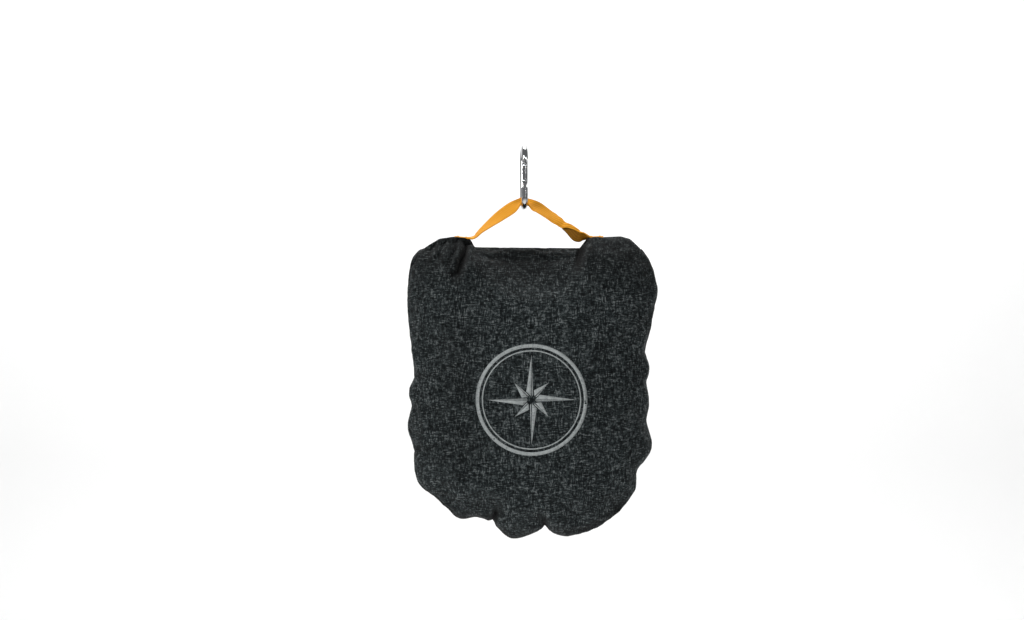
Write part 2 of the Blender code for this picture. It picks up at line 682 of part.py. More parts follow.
def bent_strip(name, low, high, finish):
    """A strip along the zip, from two corners: X along its middle line, Y out from TAPE_FACE, Z from ZIP_Z."""
    slices = max(1, math.ceil((high[0] - low[0]) / ZIP_SLOT_LENGTH * ZIP_SLICES))
    rings = []
    for along in np.linspace(low[0], high[0], slices + 1):
        turn = along / ZIP_CURVE
        corners = ((low[1], low[2]), (high[1], low[2]), (high[1], high[2]), (low[1], high[2]))
        ring = []
        for out, up in corners:
            reach = ZIP_CURVE + out
            back = TAPE_FACE - ZIP_CURVE + reach * math.cos(turn)
            ring.append((POUCH_OFFSET + reach * math.sin(turn), back, ZIP_Z + up))
        rings.append(ring)
    return loft(name, rings, finish)


def build_zip(pouch_axis, slider_axis, pull_axis):
    """Two tapes, two coil halves, a stop at each end, the slider and its pull. Y grows outwards."""
    made = []
    half_slot = ZIP_SLOT_LENGTH / 2
    tape_end = half_slot + TAPE_OVERRUN
    chain_end = half_slot - TAPE_OVERRUN
    for word, sign in (("upper", 1), ("lower", -1)):
        low, high = sorted((sign * CHAIN_SPLIT / 2, sign * TAPE_WIDTH))
        tape = bent_strip(
            f"zip_tape_{word}", (-tape_end, -TAPE_THICKNESS, low), (tape_end, 0, high), TAPE_FINISH
        )
        low, high = sorted((sign * CHAIN_SPLIT / 2, sign * CHAIN_WIDTH / 2))
        chain = bent_strip(
            f"zip_coil_{word}", (-chain_end, GAP, low), (chain_end, GAP + CHAIN_THICKNESS, high), COIL_FINISH
        )
        made += [tape, chain]
    for word, sign in (("left", -1), ("right", 1)):
        near, far = sorted((sign * (chain_end + GAP), sign * (chain_end + GAP + STOP_LENGTH)))
        half = CHAIN_WIDTH / 2
        stop = bent_strip(
            f"zip_stop_{word}", (near, GAP, -half), (far, GAP + CHAIN_THICKNESS, half), SLIDER_FINISH
        )
        round_off(stop, 0.4)
        made.append(stop)
    for piece in made:
        hang_on(piece, pouch_axis)

    half, width = SLIDER_LENGTH / 2, SLIDER_WIDTH / 2
    top_low = CHAIN_THICKNESS + GAP + SLIDER_CLEARANCE
    top_high = top_low + SLIDER_PLATE
    base_high = -TAPE_THICKNESS - SLIDER_CLEARANCE
    lip = width - SLIDER_FLANGE
    lip_low = SLIDER_CLEARANCE
    hood = [(lip_low, -width), (top_high, -width), (top_high, width), (lip_low, width)]
    hood += [(lip_low, lip), (top_low, lip), (top_low, -lip), (lip_low, -lip)]
    slider = prism("zip_slider", hood, -half, half, SLIDER_FINISH, slider_axis, axis=0)
    joined = (
        block("slider_base", (-half, base_high - SLIDER_PLATE, -width), (half, base_high, width), SLIDER_FINISH, slider_axis),
        block("slider_post", (1.0, base_high - 0.4, -0.16), (half - 0.4, top_low + 0.4, 0.16), SLIDER_FINISH, slider_axis),
    )
    for piece in joined:
        combine(slider, piece, "UNION")
    arch_end = BRIDGE_LENGTH / 2
    inner_end = arch_end - BRIDGE_THICKNESS
    inner_high = top_high + BRIDGE_HEIGHT
    outer_high = inner_high + BRIDGE_THICKNESS
    bridge = [(-arch_end, top_high - 0.4), (-arch_end, outer_high - 0.6), (-arch_end + 0.6, outer_high)]
    bridge += [(arch_end - 0.6, outer_high), (arch_end, outer_high - 0.6), (arch_end, top_high - 0.4)]
    bridge += [(inner_end, top_high - 0.4), (inner_end, inner_high), (-inner_end, inner_high)]
    bridge += [(-inner_end, top_high - 0.4)]
    arch = prism("slider_bridge", bridge, -BRIDGE_WIDTH / 2, BRIDGE_WIDTH / 2, SLIDER_FINISH, slider_axis, axis=2)
    combine(slider, arch, "UNION")

    bar, wide = PULL_BAR / 2, PULL_WIDTH / 2
    curve = [math.radians(a) for a in (90, 60, 30, 0, -30, -60, -90)]
    tail = -PULL_LENGTH + wide
    outline = [(bar, -wide), (bar, wide), *((tail - wide * math.cos(a), wide * math.sin(a)) for a in curve)]
    pull = prism("zip_pull", outline, -PULL_THICKNESS / 2, PULL_THICKNESS / 2, SLIDER_FINISH, pull_axis)
    window = BRIDGE_WIDTH / 2 + GAP + 0.1
    window_end = -(arch_end + 2.0)
    combine(
        pull,
        block("pull_window", (window_end, -3, -window), (-bar, 3, window), SLIDER_FINISH, pull_axis),
        "DIFFERENCE",
    )
    combine(pull, rod("pull_eye", (tail, -3, 0), (tail, 3, 0), 1.1, 12, SLIDER_FINISH, pull_axis), "DIFFERENCE")
    return [*made, slider, pull]


# ---------------------------------------------------------------- the pillow inside


def lens(name, step, finish):
    """The closed outer form of the stuffed pillow, step millimetres in from its skin."""
    outline = SMOOTH_SEAM[::3]
    inset = PILLOW_INSET + step
    front = FRONT_DEPTH - FABRIC - PILLOW_FRONT_GAP - step
    back = BACK_DEPTH - FABRIC - PILLOW_BACK_GAP - step
    x, z = POUCH_CENTRE
    rings = [[(x, -front, z)]]
    rings += [crown_ring(outline, share, front, -1, inset) for share in PILLOW_FRONT_RINGS[::-1]]
    level = ZIP_FACE - FABRIC - PILLOW_BACK_GAP - step
    rings += [crown_ring(outline, share, back, 1, inset, level) for share in PILLOW_BACK_RINGS]
    rings.append([(x, back, z)])
    return loft(name, rings, finish)


def fold_section(half_width, top, bottom, steps=8):
    """Half of the slot's outline in Y and Z, from its top down round its closed end."""
    turns = [math.pi * k / steps for k in range(steps + 1)]
    bend = [(-half_width * math.cos(t), bottom - half_width * math.sin(t)) for t in turns]
    return [(-half_width, top), *bend, (half_width, top)]


def bag(name, step, thickness, finish):
    """A thin bag round the folded pillow, open at the top between its two leaves."""
    skin = lens(name, step, finish)
    combine(skin, lens(f"{name}_inside", step + thickness, finish), "DIFFERENCE")
    mouth = block(
        f"{name}_mouth",
        (PILLOW_LEFT + MOUTH_MARGIN, -FOLD_SLOT / 2, POUCH_CENTRE[1] + POUCH_HEIGHT / 4),
        (PILLOW_RIGHT - MOUTH_MARGIN, FOLD_SLOT / 2, POUCH_TOP + 20),
        finish,
    )
    combine(skin, mouth, "DIFFERENCE")
    return skin


def build_pillow():
    """Cover, liner and foam, and the inner face of the cover that the fold turns in on itself."""
    cover = bag("pillow_cover", 0.0, COVER_THICKNESS, COVER_FINISH)
    liner_step = COVER_THICKNESS + GAP
    liner = bag("pillow_liner", liner_step, LINER_THICKNESS, LINER_FINISH)
    foam_step = liner_step + LINER_THICKNESS + GAP
    foam = lens("foam_fill", foam_step, FOAM_FINISH)
    slot = prism(
        "fold_slot",
        fold_section(FOLD_SLOT / 2, POUCH_TOP + 30, FOLD_BOTTOM),
        PILLOW_LEFT - 10,
        PILLOW_RIGHT + 10,
        FOAM_FINISH,
        axis=0,
    )
    combine(foam, slot, "DIFFERENCE")
    left, right = PILLOW_LEFT + MOUTH_MARGIN + GAP, PILLOW_RIGHT - MOUTH_MARGIN - GAP
    outer = FOLD_SLOT / 2 - 2 * GAP
    faces = []
    for half in (outer, outer - COVER_THICKNESS):
        section = fold_section(half, PILLOW_MOUTH_Z, FOLD_BOTTOM)
        faces.append([[(x, y, z) for x in (left, right)] for y, z in section])
    inner = sheet("pillow_cover_inner_face", faces[0], faces[1], COVER_FINISH)
    return [cover, liner, foam, inner]


# ---------------------------------------------------------------- everything in its place

clear_scene()

FABRIC_FINISH = material("heather_fabric", (0.026, 0.031, 0.032), 0.9)
WEBBING_FINISH = material("orange_webbing", (0.82, 0.35, 0.03), 0.75)
THREAD_FINISH = material("orange_thread", (0.7, 0.3, 0.03), 0.6)
STEEL_FINISH = material("polished_steel", (0.75, 0.75, 0.76), 0.18, 1.0)
TAPE_FINISH = material("zip_tape", (0.014, 0.016, 0.017), 0.85)
COIL_FINISH = material("zip_coil", (0.018, 0.02, 0.021), 0.4)
SLIDER_FINISH = material("slider_metal", (0.07, 0.07, 0.075), 0.35, 0.9)
COVER_FINISH = material("pillow_knit", (0.32, 0.34, 0.35), 0.9)
LINER_FINISH = material("liner_cloth", (0.75, 0.75, 0.73), 0.8)
FOAM_FINISH = material("foam", (0.78, 0.74, 0.6), 0.95)

BASKET_Z = 1.5 * WIRE - HOOK_LENGTH
POUCH_TOP = BASKET_Z - LOOP_DROP
POUCH_CENTRE = np.array([POUCH_OFFSET, POUCH_TOP - POUCH_HEIGHT / 2])
ZIP_Z = POUCH_TOP - ZIP_DROP
TAPE_FACE = ZIP_FACE - FABRIC - TAPE_BELOW_FABRIC
SEAM = seam_points()
SMOOTH_SEAM = smoothed(SEAM)

CROWN_CENTRE = np.array([0.0, WIRE / 2 - CROWN_RADIUS])
BASKET_CENTRE = np.array([0.0, BASKET_Z + BASKET_RADIUS])
TANGENT = np.array([0.0, -(CROWN_RADIUS - BASKET_RADIUS) / (CROWN_CENTRE[1] - BASKET_CENTRE[1])])
TANGENT[0] = -math.sqrt(1 - TANGENT[1] ** 2)
GATE_FOOT = BASKET_CENTRE + BASKET_RADIUS * TANGENT
GATE_HEAD = CROWN_CENTRE + CROWN_RADIUS * TANGENT
GATE_UP = (GATE_HEAD - GATE_FOOT) / np.linalg.norm(GATE_HEAD - GATE_FOOT)
PIVOT = GATE_FOOT + GATE_UP * GATE_PIVOT_RISE
GATE_LENGTH = float(np.linalg.norm(GATE_HEAD - PIVOT)) - 2 * GAP

PILLOW_LEFT = float(SMOOTH_SEAM[:, 0].min()) + PILLOW_INSET
PILLOW_RIGHT = float(SMOOTH_SEAM[:, 0].max()) - PILLOW_INSET
FOLD_BOTTOM = float(SMOOTH_SEAM[:, 1].min()) + PILLOW_INSET + FOLD_RISE
PILLOW_MOUTH_Z = POUCH_TOP - 0.15 * POUCH_HEIGHT

YAW = Matrix.Rotation(math.radians(HOOK_YAW), 4, "Z")
hook_frame = empty("hook_frame", (0, 0, 0), YAW)
gate_tilt = Matrix.Rotation(math.atan2(-GATE_UP[0], GATE_UP[1]), 4, "X")
gate_axis = empty("gate_axis", (0, *PIVOT), gate_tilt, hook_frame)
loop_axis = empty("loop_axis", (0, 0, BASKET_Z), YAW)
pouch_axis = empty("pouch_axis", (POUCH_OFFSET, 0, POUCH_TOP + GAP + WEBBING_THICKNESS / 2))
ZIP_CENTRE = (POUCH_OFFSET, TAPE_FACE - ZIP_CURVE, ZIP_Z)
SLIDER_START = ZIP_SLOT_LENGTH / 2 - TAPE_OVERRUN - SLIDER_LENGTH / 2 - 2.0
zip_axis = empty("zip_axis", ZIP_CENTRE, Matrix.Rotation(-SLIDER_START / ZIP_CURVE, 4, "Z"), None)
slider_axis = empty("slider_axis", (0, ZIP_CURVE, 0), None, zip_axis)
PULL_HEIGHT = CHAIN_THICKNESS + GAP + SLIDER_CLEARANCE + SLIDER_PLATE + BRIDGE_HEIGHT / 2
pull_axis = empty("pull_axis", (0, PULL_HEIGHT, 0), None, slider_axis)

build_hook(hook_frame, gate_axis)
build_loop(loop_axis, pouch_axis)
for piece in build_panels() + build_seam_tape() + build_pillow():
    smooth(piece, 60)
    hang_on(piece, pouch_axis)
build_zip(pouch_axis, slider_axis, pull_axis)
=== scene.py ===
import math

import bmesh
import bpy
import numpy as np
from mathutils import Matrix, Vector, geometry
from mathutils.bvhtree import BVHTree


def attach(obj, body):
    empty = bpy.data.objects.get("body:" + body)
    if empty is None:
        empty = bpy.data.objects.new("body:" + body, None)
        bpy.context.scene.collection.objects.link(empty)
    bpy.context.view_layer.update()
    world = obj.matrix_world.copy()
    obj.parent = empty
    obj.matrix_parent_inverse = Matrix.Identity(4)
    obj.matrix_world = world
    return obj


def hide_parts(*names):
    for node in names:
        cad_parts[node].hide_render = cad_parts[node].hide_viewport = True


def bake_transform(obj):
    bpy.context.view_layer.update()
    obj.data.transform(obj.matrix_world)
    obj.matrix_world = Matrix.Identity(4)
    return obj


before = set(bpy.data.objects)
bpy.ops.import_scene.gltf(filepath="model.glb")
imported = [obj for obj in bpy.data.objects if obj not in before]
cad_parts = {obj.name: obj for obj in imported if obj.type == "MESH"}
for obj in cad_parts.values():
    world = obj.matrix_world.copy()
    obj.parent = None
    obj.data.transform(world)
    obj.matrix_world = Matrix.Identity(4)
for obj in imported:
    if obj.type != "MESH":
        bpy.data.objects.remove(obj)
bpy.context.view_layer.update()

# -------------------- The view
# The pillow hangs level with the eye and square to it, against a pale sweep of paper that runs from the
# floor up behind it. A broad soft light stands high on the left, with weaker ones on the right and behind.


def shaded(name, **values):
    """A new material, its node tree and its shader, with values for the shader's inputs."""
    made = bpy.data.materials.new(name)
    made.use_nodes = True
    shader = made.node_tree.nodes["Principled BSDF"]
    for socket, value in values.items():
        shader.inputs[socket.replace("_", " ")].default_value = value
    return made, made.node_tree, shader


def node(tree, kind, inputs=None, **settings):
    """A node whose inputs are values, or other nodes' outputs."""
    made = tree.nodes.new(kind)
    for key, value in settings.items():
        setattr(made, key, value)
    for socket, value in (inputs or {}).items():
        if isinstance(value, bpy.types.NodeSocket):
            tree.links.new(value, made.inputs[socket])
        else:
            made.inputs[socket].default_value = value
    return made


def maths(tree, operation, *values):
    return node(tree, "ShaderNodeMath", dict(enumerate(values)), operation=operation).outputs[0]


def spread(tree, value, low, high, start=0.0, end=1.0, easing="LINEAR"):
    """A value that goes from low to high while the given one goes from start to end."""
    inputs = {"Value": value, "From Min": start, "From Max": end, "To Min": low, "To Max": high}
    return node(tree, "ShaderNodeMapRange", inputs, interpolation_type=easing).outputs[0]


def bumped(tree, shader, height, strength, distance):
    bump = node(tree, "ShaderNodeBump", {"Height": height, "Strength": strength, "Distance": distance})
    tree.links.new(bump.outputs[0], shader.inputs["Normal"])


def own_place(tree):
    return node(tree, "ShaderNodeTexCoord").outputs["Object"]


def noise(tree, where, scale, detail, **more):
    inputs = {"Vector": where, "Scale": scale, "Detail": detail, **more}
    return node(tree, "ShaderNodeTexNoise", inputs).outputs["Fac"]


def shader_group(name, inputs, outputs):
    """A shader group with a vector and the given values as inputs, and its input and output nodes."""
    made = bpy.data.node_groups.new(name, "ShaderNodeTree")
    made.interface.new_socket("Vector", in_out="INPUT", socket_type="NodeSocketVector")
    for socket, value in inputs:
        made.interface.new_socket(socket, in_out="INPUT", socket_type="NodeSocketFloat").default_value = value
    for socket in outputs:
        made.interface.new_socket(socket, in_out="OUTPUT", socket_type="NodeSocketFloat")
    return made, node(made, "NodeGroupInput"), node(made, "NodeGroupOutput")


def ramp(tree, factor, stops):
    made = node(tree, "ShaderNodeValToRGB", {"Fac": factor})
    made.color_ramp.interpolation = "LINEAR"
    for i, (place, colour) in enumerate(stops):
        stop = made.color_ramp.elements[i] if i < 2 else made.color_ramp.elements.new(place)
        stop.position, stop.color = place, (*colour, 1)
    return made.outputs["Color"]


def linked(obj):
    bpy.context.scene.collection.objects.link(obj)
    return obj


def piece(name, points, faces, finish):
    """A mesh object from points in millimetres."""
    mesh = bpy.data.meshes.new(name)
    spots = [tuple(float(c) / 1000 for c in p) for p in points]
    mesh.from_pydata(spots, [], [tuple(int(i) for i in f) for f in faces])
    mesh.materials.append(finish)
    mesh.shade_smooth()
    return linked(bpy.data.objects.new(name, mesh))


def cleaned(mesh, weld):
    """Joins the mesh's points that are closer than weld, in metres, and turns its faces outward."""
    shape = bmesh.new()
    shape.from_mesh(mesh)
    if weld:
        bmesh.ops.remove_doubles(shape, verts=shape.verts, dist=weld)
    bmesh.ops.recalc_face_normals(shape, faces=shape.faces)
    shape.to_mesh(mesh)
    shape.free()


camera = linked(bpy.data.objects.new("camera", bpy.data.cameras.new("camera")))
bpy.context.scene.camera = camera
camera.location = (-0.0123, -2.5, -0.1639)
camera.rotation_euler = (math.pi / 2, 0, 0)
camera.data.lens = 85.5
bpy.context.scene.view_settings.view_transform = "Standard"

FLOOR = -1150.0
paper, paper_tree, paper_shader = shaded("backdrop_paper", Roughness=0.9)
paper_grain = node(paper_tree, "ShaderNodeTexNoise", {"Scale": 6.0, "Detail": 2.0})
paper_colour = node(
    paper_tree, "ShaderNodeMixRGB",
    {"Fac": paper_grain.outputs["Fac"], "Color1": (0.86, 0.86, 0.86, 1), "Color2": (0.9, 0.9, 0.895, 1)},
)
paper_tree.links.new(paper_colour.outputs[0], paper_shader.inputs["Base Color"])
sweep = [(-4200.0, FLOOR), (1500.0, FLOOR)]
sweep += [(1500 + 700 * math.sin(t), FLOOR + 700 - 700 * math.cos(t)) for t in np.linspace(0.1, math.pi / 2, 14)]
sweep += [(2200.0, 3600.0)]
backdrop = piece(
    "backdrop",
    [(x, y, z) for y, z in sweep for x in (-4500, 4500)],
    [(2 * i, 2 * i + 1, 2 * i + 3, 2 * i + 2) for i in range(len(sweep) - 1)],
    paper,
)


def soft_light(name, place, aim, size, power):
    lamp = bpy.data.lights.new(name, "AREA")
    lamp.shape, lamp.size, lamp.energy = "DISK", size, power
    obj = linked(bpy.data.objects.new(name, lamp))
    obj.location = place
    obj.rotation_euler = (Vector(aim) - Vector(place)).to_track_quat("-Z", "Y").to_euler()


soft_light("front_left", (-1.7, -1.7, 0.6), (0, 0, -0.22), 0.6, 36)
soft_light("front_right", (1.4, -2.4, 0.3), (0, 0, -0.25), 0.8, 22)
soft_light("on_the_backdrop", (0.0, 0.9, 2.0), (0, 2.2, -0.5), 2.2, 84)
world = bpy.data.worlds.new("room")
bpy.context.scene.world = world
world.use_nodes = True
air = world.node_tree.nodes["Background"]
air.inputs["Color"].default_value = (0.97, 0.985, 1, 1)
seen = node(world.node_tree, "ShaderNodeLightPath").outputs["Is Camera Ray"]
world.node_tree.links.new(spread(world.node_tree, seen, 0.14, 0.86), air.inputs["Strength"])

# -------------------- Pouch: front panel and two back panels
# Three pieces of charcoal heather jersey, sewn together round the seam line below and pulled tight over
# the stuffing. The seam draws the cloth in at each PINCH. The back is in two, with the zip between.

POUCH_WIDTH, POUCH_HEIGHT = 254.0, 307.5
POUCH_DEPTH = 57.0  # of each side, at the middle
POUCH_OFFSET, POUCH_TOP = 8.75, -89.7
POUCH_CENTRE = np.array([POUCH_OFFSET, POUCH_TOP - POUCH_HEIGHT / 2])
ROUND, PINCH = False, True
SEAM_LINE = (  # across from the middle, down from the top of the ears, clockwise from the mouth's left end
    (-60, 10.5, PINCH), (49, 11.5, PINCH), (57, 0.5, PINCH), (81, 0, ROUND), (99.5, 2, ROUND),
    (118.5, 25, ROUND), (126.5, 55, ROUND), (122.5, 79.5, ROUND), (114.5, 117.5, PINCH),
    (119, 134, ROUND), (116, 148, PINCH), (119, 168, ROUND), (116, 187.5, PINCH),
    (121, 214.5, ROUND), (106, 239.5, PINCH), (104, 257.5, ROUND), (88, 278, PINCH),
    (65.5, 295, ROUND), (34.5, 304.5, ROUND), (14, 299, PINCH), (2.5, 302, ROUND),
    (-19, 307.5, ROUND), (-34.5, 298, ROUND), (-40.5, 288.5, PINCH), (-48, 288.5, ROUND),
    (-57, 286, PINCH), (-74.5, 287.5, ROUND), (-88, 276, ROUND), (-99.5, 266, PINCH),
    (-115.5, 251, ROUND), (-120.5, 232, ROUND), (-120.5, 218.5, PINCH), (-127, 194, ROUND),
    (-123, 172, PINCH), (-126, 158, ROUND), (-120, 142, PINCH), (-124, 107, ROUND),
    (-127, 66, ROUND), (-125, 35, ROUND), (-121, 20, ROUND), (-108.5, 10, ROUND),
    (-95, 2, ROUND), (-80, 0, ROUND), (-64.5, 1.5, PINCH),
)
CLOTH_STEP = 4.2  # between the points of the cloth
CLOTH_THICKNESS = 0.9
ZIP_Z = POUCH_TOP - 62
ZIP_FACE, ZIP_CURVE, ZIP_SPREAD = 48.0, 290.0, 24.0
SLOT_LENGTH, SLOT_HEIGHT = 170.0, 9.2


def seam_points(step):
    """The seam line in world X and Z, with points about step apart."""
    knots = np.array([(POUCH_OFFSET + x, POUCH_TOP - drop) for x, drop, _ in SEAM_LINE], float)
    count, points = len(knots), []
    for i in range(count):
        start, end = knots[i], knots[(i + 1) % count]
        leave = end - start if SEAM_LINE[i][2] else (end - knots[i - 1]) / 2
        arrive = end - start if SEAM_LINE[(i + 1) % count][2] else (knots[(i + 2) % count] - start) / 2
        steps = max(1, round(np.linalg.norm(end - start) / step))
        for t in np.arange(steps) / steps:
            points.append(
                (2 * t**3 - 3 * t**2 + 1) * start + (t**3 - 2 * t**2 + t) * leave
                + (3 * t**2 - 2 * t**3) * end + (t**3 - t**2) * arrive
            )
    return np.array(points)


def even_out(points, passes):
    for _ in range(passes):
        points = (np.roll(points, 1, 0) + 2 * points + np.roll(points, -1, 0)) / 4
    return points


def by_angle(outline):
    """The outline's distance from the pouch's middle, as (angle, distance) ready to look up."""
    arm = outline - POUCH_CENTRE
    angle = np.arctan2(arm[:, 1], arm[:, 0])
    order = np.argsort(angle)
    return angle[order], np.linalg.norm(arm, axis=1)[order]


def polar(arm):
    """Angles and distances from the pouch's middle."""
    return np.arctan2(arm[:, 1], arm[:, 0]), np.linalg.norm(arm, axis=1)


def reach(table, angle):
    return np.interp(angle, *table, period=2 * math.pi)


seam = seam_points(CLOTH_STEP * 0.9)
seam_reach = by_angle(seam)
smooth_reach = by_angle(even_out(seam_points(4.0), 90))
shares = np.sin(np.linspace(0, math.pi / 2, 400))
profile = POUCH_DEPTH / 135 * np.sqrt(np.maximum(1 - shares**2.4, 0))
arc = np.concatenate([[0], np.cumsum(np.hypot(np.diff(shares), np.diff(profile)))])
CLOTH_SPREAD = arc[-1]  # length of cloth from the middle to the seam, over the straight distance


def outline_at(angle, share):
    """Distance from the middle, where share of the cloth's way to the seam has been gone."""
    smooth = reach(smooth_reach, angle)
    return share * (smooth + (reach(seam_reach, angle) - smooth) * share**6)


def share_of(angle, distance):
    share = distance / reach(seam_reach, angle)
    for _ in range(12):
        share = np.clip(distance / np.maximum(outline_at(angle, share) / np.maximum(share, 1e-6), 1e-6), 0, 1)
    return share


def stand(x, z, share, depth=POUCH_DEPTH):
    belly = 1 + 0.05 * (POUCH_CENTRE[1] - z) / (POUCH_HEIGHT / 2)
    return np.maximum(depth * belly * np.sqrt(np.maximum(1 - share**2.4, 0)), 0.15)


def zip_drawn(x, z, depth, face=ZIP_FACE):
    """How far back the cloth stands once the zip has drawn it to its own curve."""
    off = x - POUCH_OFFSET
    level = face - (ZIP_CURVE - np.sqrt(ZIP_CURVE**2 - off**2))
    near = np.exp(-(((z - ZIP_Z) / ZIP_SPREAD) ** 4))
    inside = 1 / (1 + np.exp((np.abs(off) - SLOT_LENGTH / 2 - 18) / 3))
    return depth + (level - depth) * near * inside


def cloth_side(side):
    """Points and triangles of one side of the pouch, laid out evenly over the cloth. Seam points come first."""
    flat = [POUCH_CENTRE + (p - POUCH_CENTRE) * CLOTH_SPREAD for p in seam]
    count = len(flat)
    edges = [(i, (i + 1) % count) for i in range(count)]
    fixed = set(range(count))
    if side > 0:
        half, up = SLOT_LENGTH / 2, SLOT_HEIGHT / 2
        corner = [(POUCH_OFFSET + x, ZIP_Z + z) for x, z in ((-half, up), (half, up), (half, -up), (-half, -up))]
        left_end, right_end = (POUCH_OFFSET - half, ZIP_Z), (POUCH_OFFSET + half, ZIP_Z)
        lines = [[corner[0], corner[1]], [corner[2], corner[3]]]
        lines += [[corner[3], left_end, corner[0]], [corner[1], right_end, corner[2]]]
        above = ZIP_Z - POUCH_CENTRE[1]
        for way in (-1, 1):
            span = [
                d for d in np.linspace(100, 140, 400)
                if math.hypot(d, above) < reach(seam_reach, math.atan2(above, way * d))
            ]
            hit = np.array([POUCH_OFFSET + way * max(span), ZIP_Z])
            nearest = int(np.argmin(np.linalg.norm(seam - hit, axis=1)))
            lines.append([(POUCH_OFFSET + way * half, ZIP_Z), (hit[0] - way * 2.5, ZIP_Z), nearest])
        known = {}
        for line in lines:
            chain = []
            for start, end in zip(line[:-1], line[1:]):
                if isinstance(end, int):
                    chain.append(end)
                    continue
                start, end = np.array(start, float), np.array(end, float)
                steps = max(1, round(np.linalg.norm(end - start) / (CLOTH_STEP * 0.9)))
                first = 0 if not chain else 1
                for t in np.arange(first, steps + 1) / steps:
                    p = start + (end - start) * t
                    key = tuple(np.round(p, 2))
                    if key not in known:
                        arm = p - POUCH_CENTRE
                        angle, far = math.atan2(arm[1], arm[0]), float(np.linalg.norm(arm))
                        share = float(share_of(np.array(angle), np.array(far)))
                        out = np.interp(share, shares, arc)
                        known[key] = len(flat)
                        fixed.add(len(flat))
                        flat.append(POUCH_CENTRE + arm / far * out * reach(seam_reach, angle))
                    chain.append(known[key])
            edges += list(zip(chain[:-1], chain[1:]))
    pinned = np.array(flat)
    rows = np.arange(-260, 260, CLOTH_STEP * 0.866)
    for r, z in enumerate(rows):
        x = np.arange(-230, 230, CLOTH_STEP) + (CLOTH_STEP / 2 if r % 2 else 0)
        grid = np.stack([x, np.full(len(x), z)], 1)
        angle, far = polar(grid)
        grid = grid[far < reach(seam_reach, angle) * CLOTH_SPREAD] + POUCH_CENTRE
        if len(grid):
            gap = np.sqrt(((grid[:, None] - pinned[None]) ** 2).sum(2)).min(1)
            flat.extend(grid[gap > CLOTH_STEP * 0.62])
    laid, _, faces, origin, _, _ = geometry.delaunay_2d_cdt([Vector(p) for p in flat], edges, [], 0, 1e-4, True)
    laid = np.array([tuple(p) for p in laid])
    arm = laid - POUCH_CENTRE
    angle, far = polar(arm)
    on_seam = np.array([any(i < count for i in ids) for ids in origin])
    share = np.interp(np.minimum(far / reach(seam_reach, angle), CLOTH_SPREAD), arc, shares)
    share[on_seam] = 1.0
    out = outline_at(angle, share)
    x = POUCH_CENTRE[0] + out * np.cos(angle)
    z = POUCH_CENTRE[1] + out * np.sin(angle)
    for k, ids in enumerate(origin):
        named = [i for i in ids if i < count]
        if named:
            x[k], z[k] = seam[named[0]]
    y = stand(x, z, share)
    if side > 0:
        y = np.where(on_seam, 0, zip_drawn(x, z, y))
    y[on_seam] = 0
    order = np.full(count, -1)
    for k, ids in enumerate(origin):
        for i in ids:
            if i < count:
                order[i] = k
    held = np.array([any(i in fixed for i in ids) for ids in origin])
    kept = []
    for f in faces:
        centre = laid[list(f)].mean(0) - POUCH_CENTRE
        if np.linalg.norm(centre) < reach(seam_reach, math.atan2(centre[1], centre[0])) * CLOTH_SPREAD - 0.02:
            kept.append(tuple(f)[::-1] if side < 0 else tuple(f))
    return np.stack([x, side * y, z], 1), kept, order, held


FABRIC_GIVE = 7.0
STUFFING_STEPS = 20


def stuffed(points, faces, held):
    """The closed pouch blown out by its stuffing, its seam and zip held, no point further than FABRIC_GIVE."""
    shell = piece("pouch_shell", points, faces, paper)
    holding = shell.vertex_groups.new(name="held")
    holding.add([int(i) for i in np.flatnonzero(held)], 1.0, "REPLACE")
    cloth = shell.modifiers.new("stuffing", "CLOTH")
    fabric = cloth.settings
    fabric.quality = 6
    fabric.mass = 0.15
    fabric.tension_stiffness = fabric.compression_stiffness = 18
    fabric.shear_stiffness = 8
    fabric.bending_stiffness = 0.35
    fabric.tension_damping = fabric.compression_damping = fabric.shear_damping = 6
    fabric.use_pressure = True
    fabric.uniform_pressure_force = 3.0
    fabric.shrink_min = -0.045
    fabric.vertex_group_mass = "held"
    fabric.effector_weights.gravity = 0
    cloth.collision_settings.use_collision = False
    scene = bpy.context.scene
    scene.frame_start, scene.frame_end = 1, STUFFING_STEPS
    cloth.point_cache.frame_start, cloth.point_cache.frame_end = 1, STUFFING_STEPS
    for step in range(1, STUFFING_STEPS + 1):
        scene.frame_set(step)
    blown = shell.evaluated_get(bpy.context.evaluated_depsgraph_get()).data
    moved = np.array([tuple(v.co) for v in blown.vertices]) * 1000
    scene.frame_set(1)
    bpy.data.objects.remove(shell)
    shift = moved - points
    length = np.linalg.norm(shift, axis=1)[:, None]
    return points + shift * np.minimum(1, FABRIC_GIVE / np.maximum(length, 1e-6))


front_points, front_faces, front_seam, front_held = cloth_side(-1)
back_points, back_faces, back_seam, back_held = cloth_side(1)
spare = np.setdiff1d(np.arange(len(back_points)), back_seam)
renumber = np.full(len(back_points), -1)
renumber[back_seam] = front_seam
renumber[spare] = len(front_points) + np.arange(len(spare))
both_points = np.vstack([front_points, back_points[spare]])
both_faces = list(front_faces) + [tuple(int(renumber[i]) for i in f) for f in back_faces]
both_held = np.concatenate([front_held, back_held[spare]])
both_points = stuffed(both_points, both_faces, both_held)
front_points = both_points[: len(front_points)]
back_points = both_points[renumber]

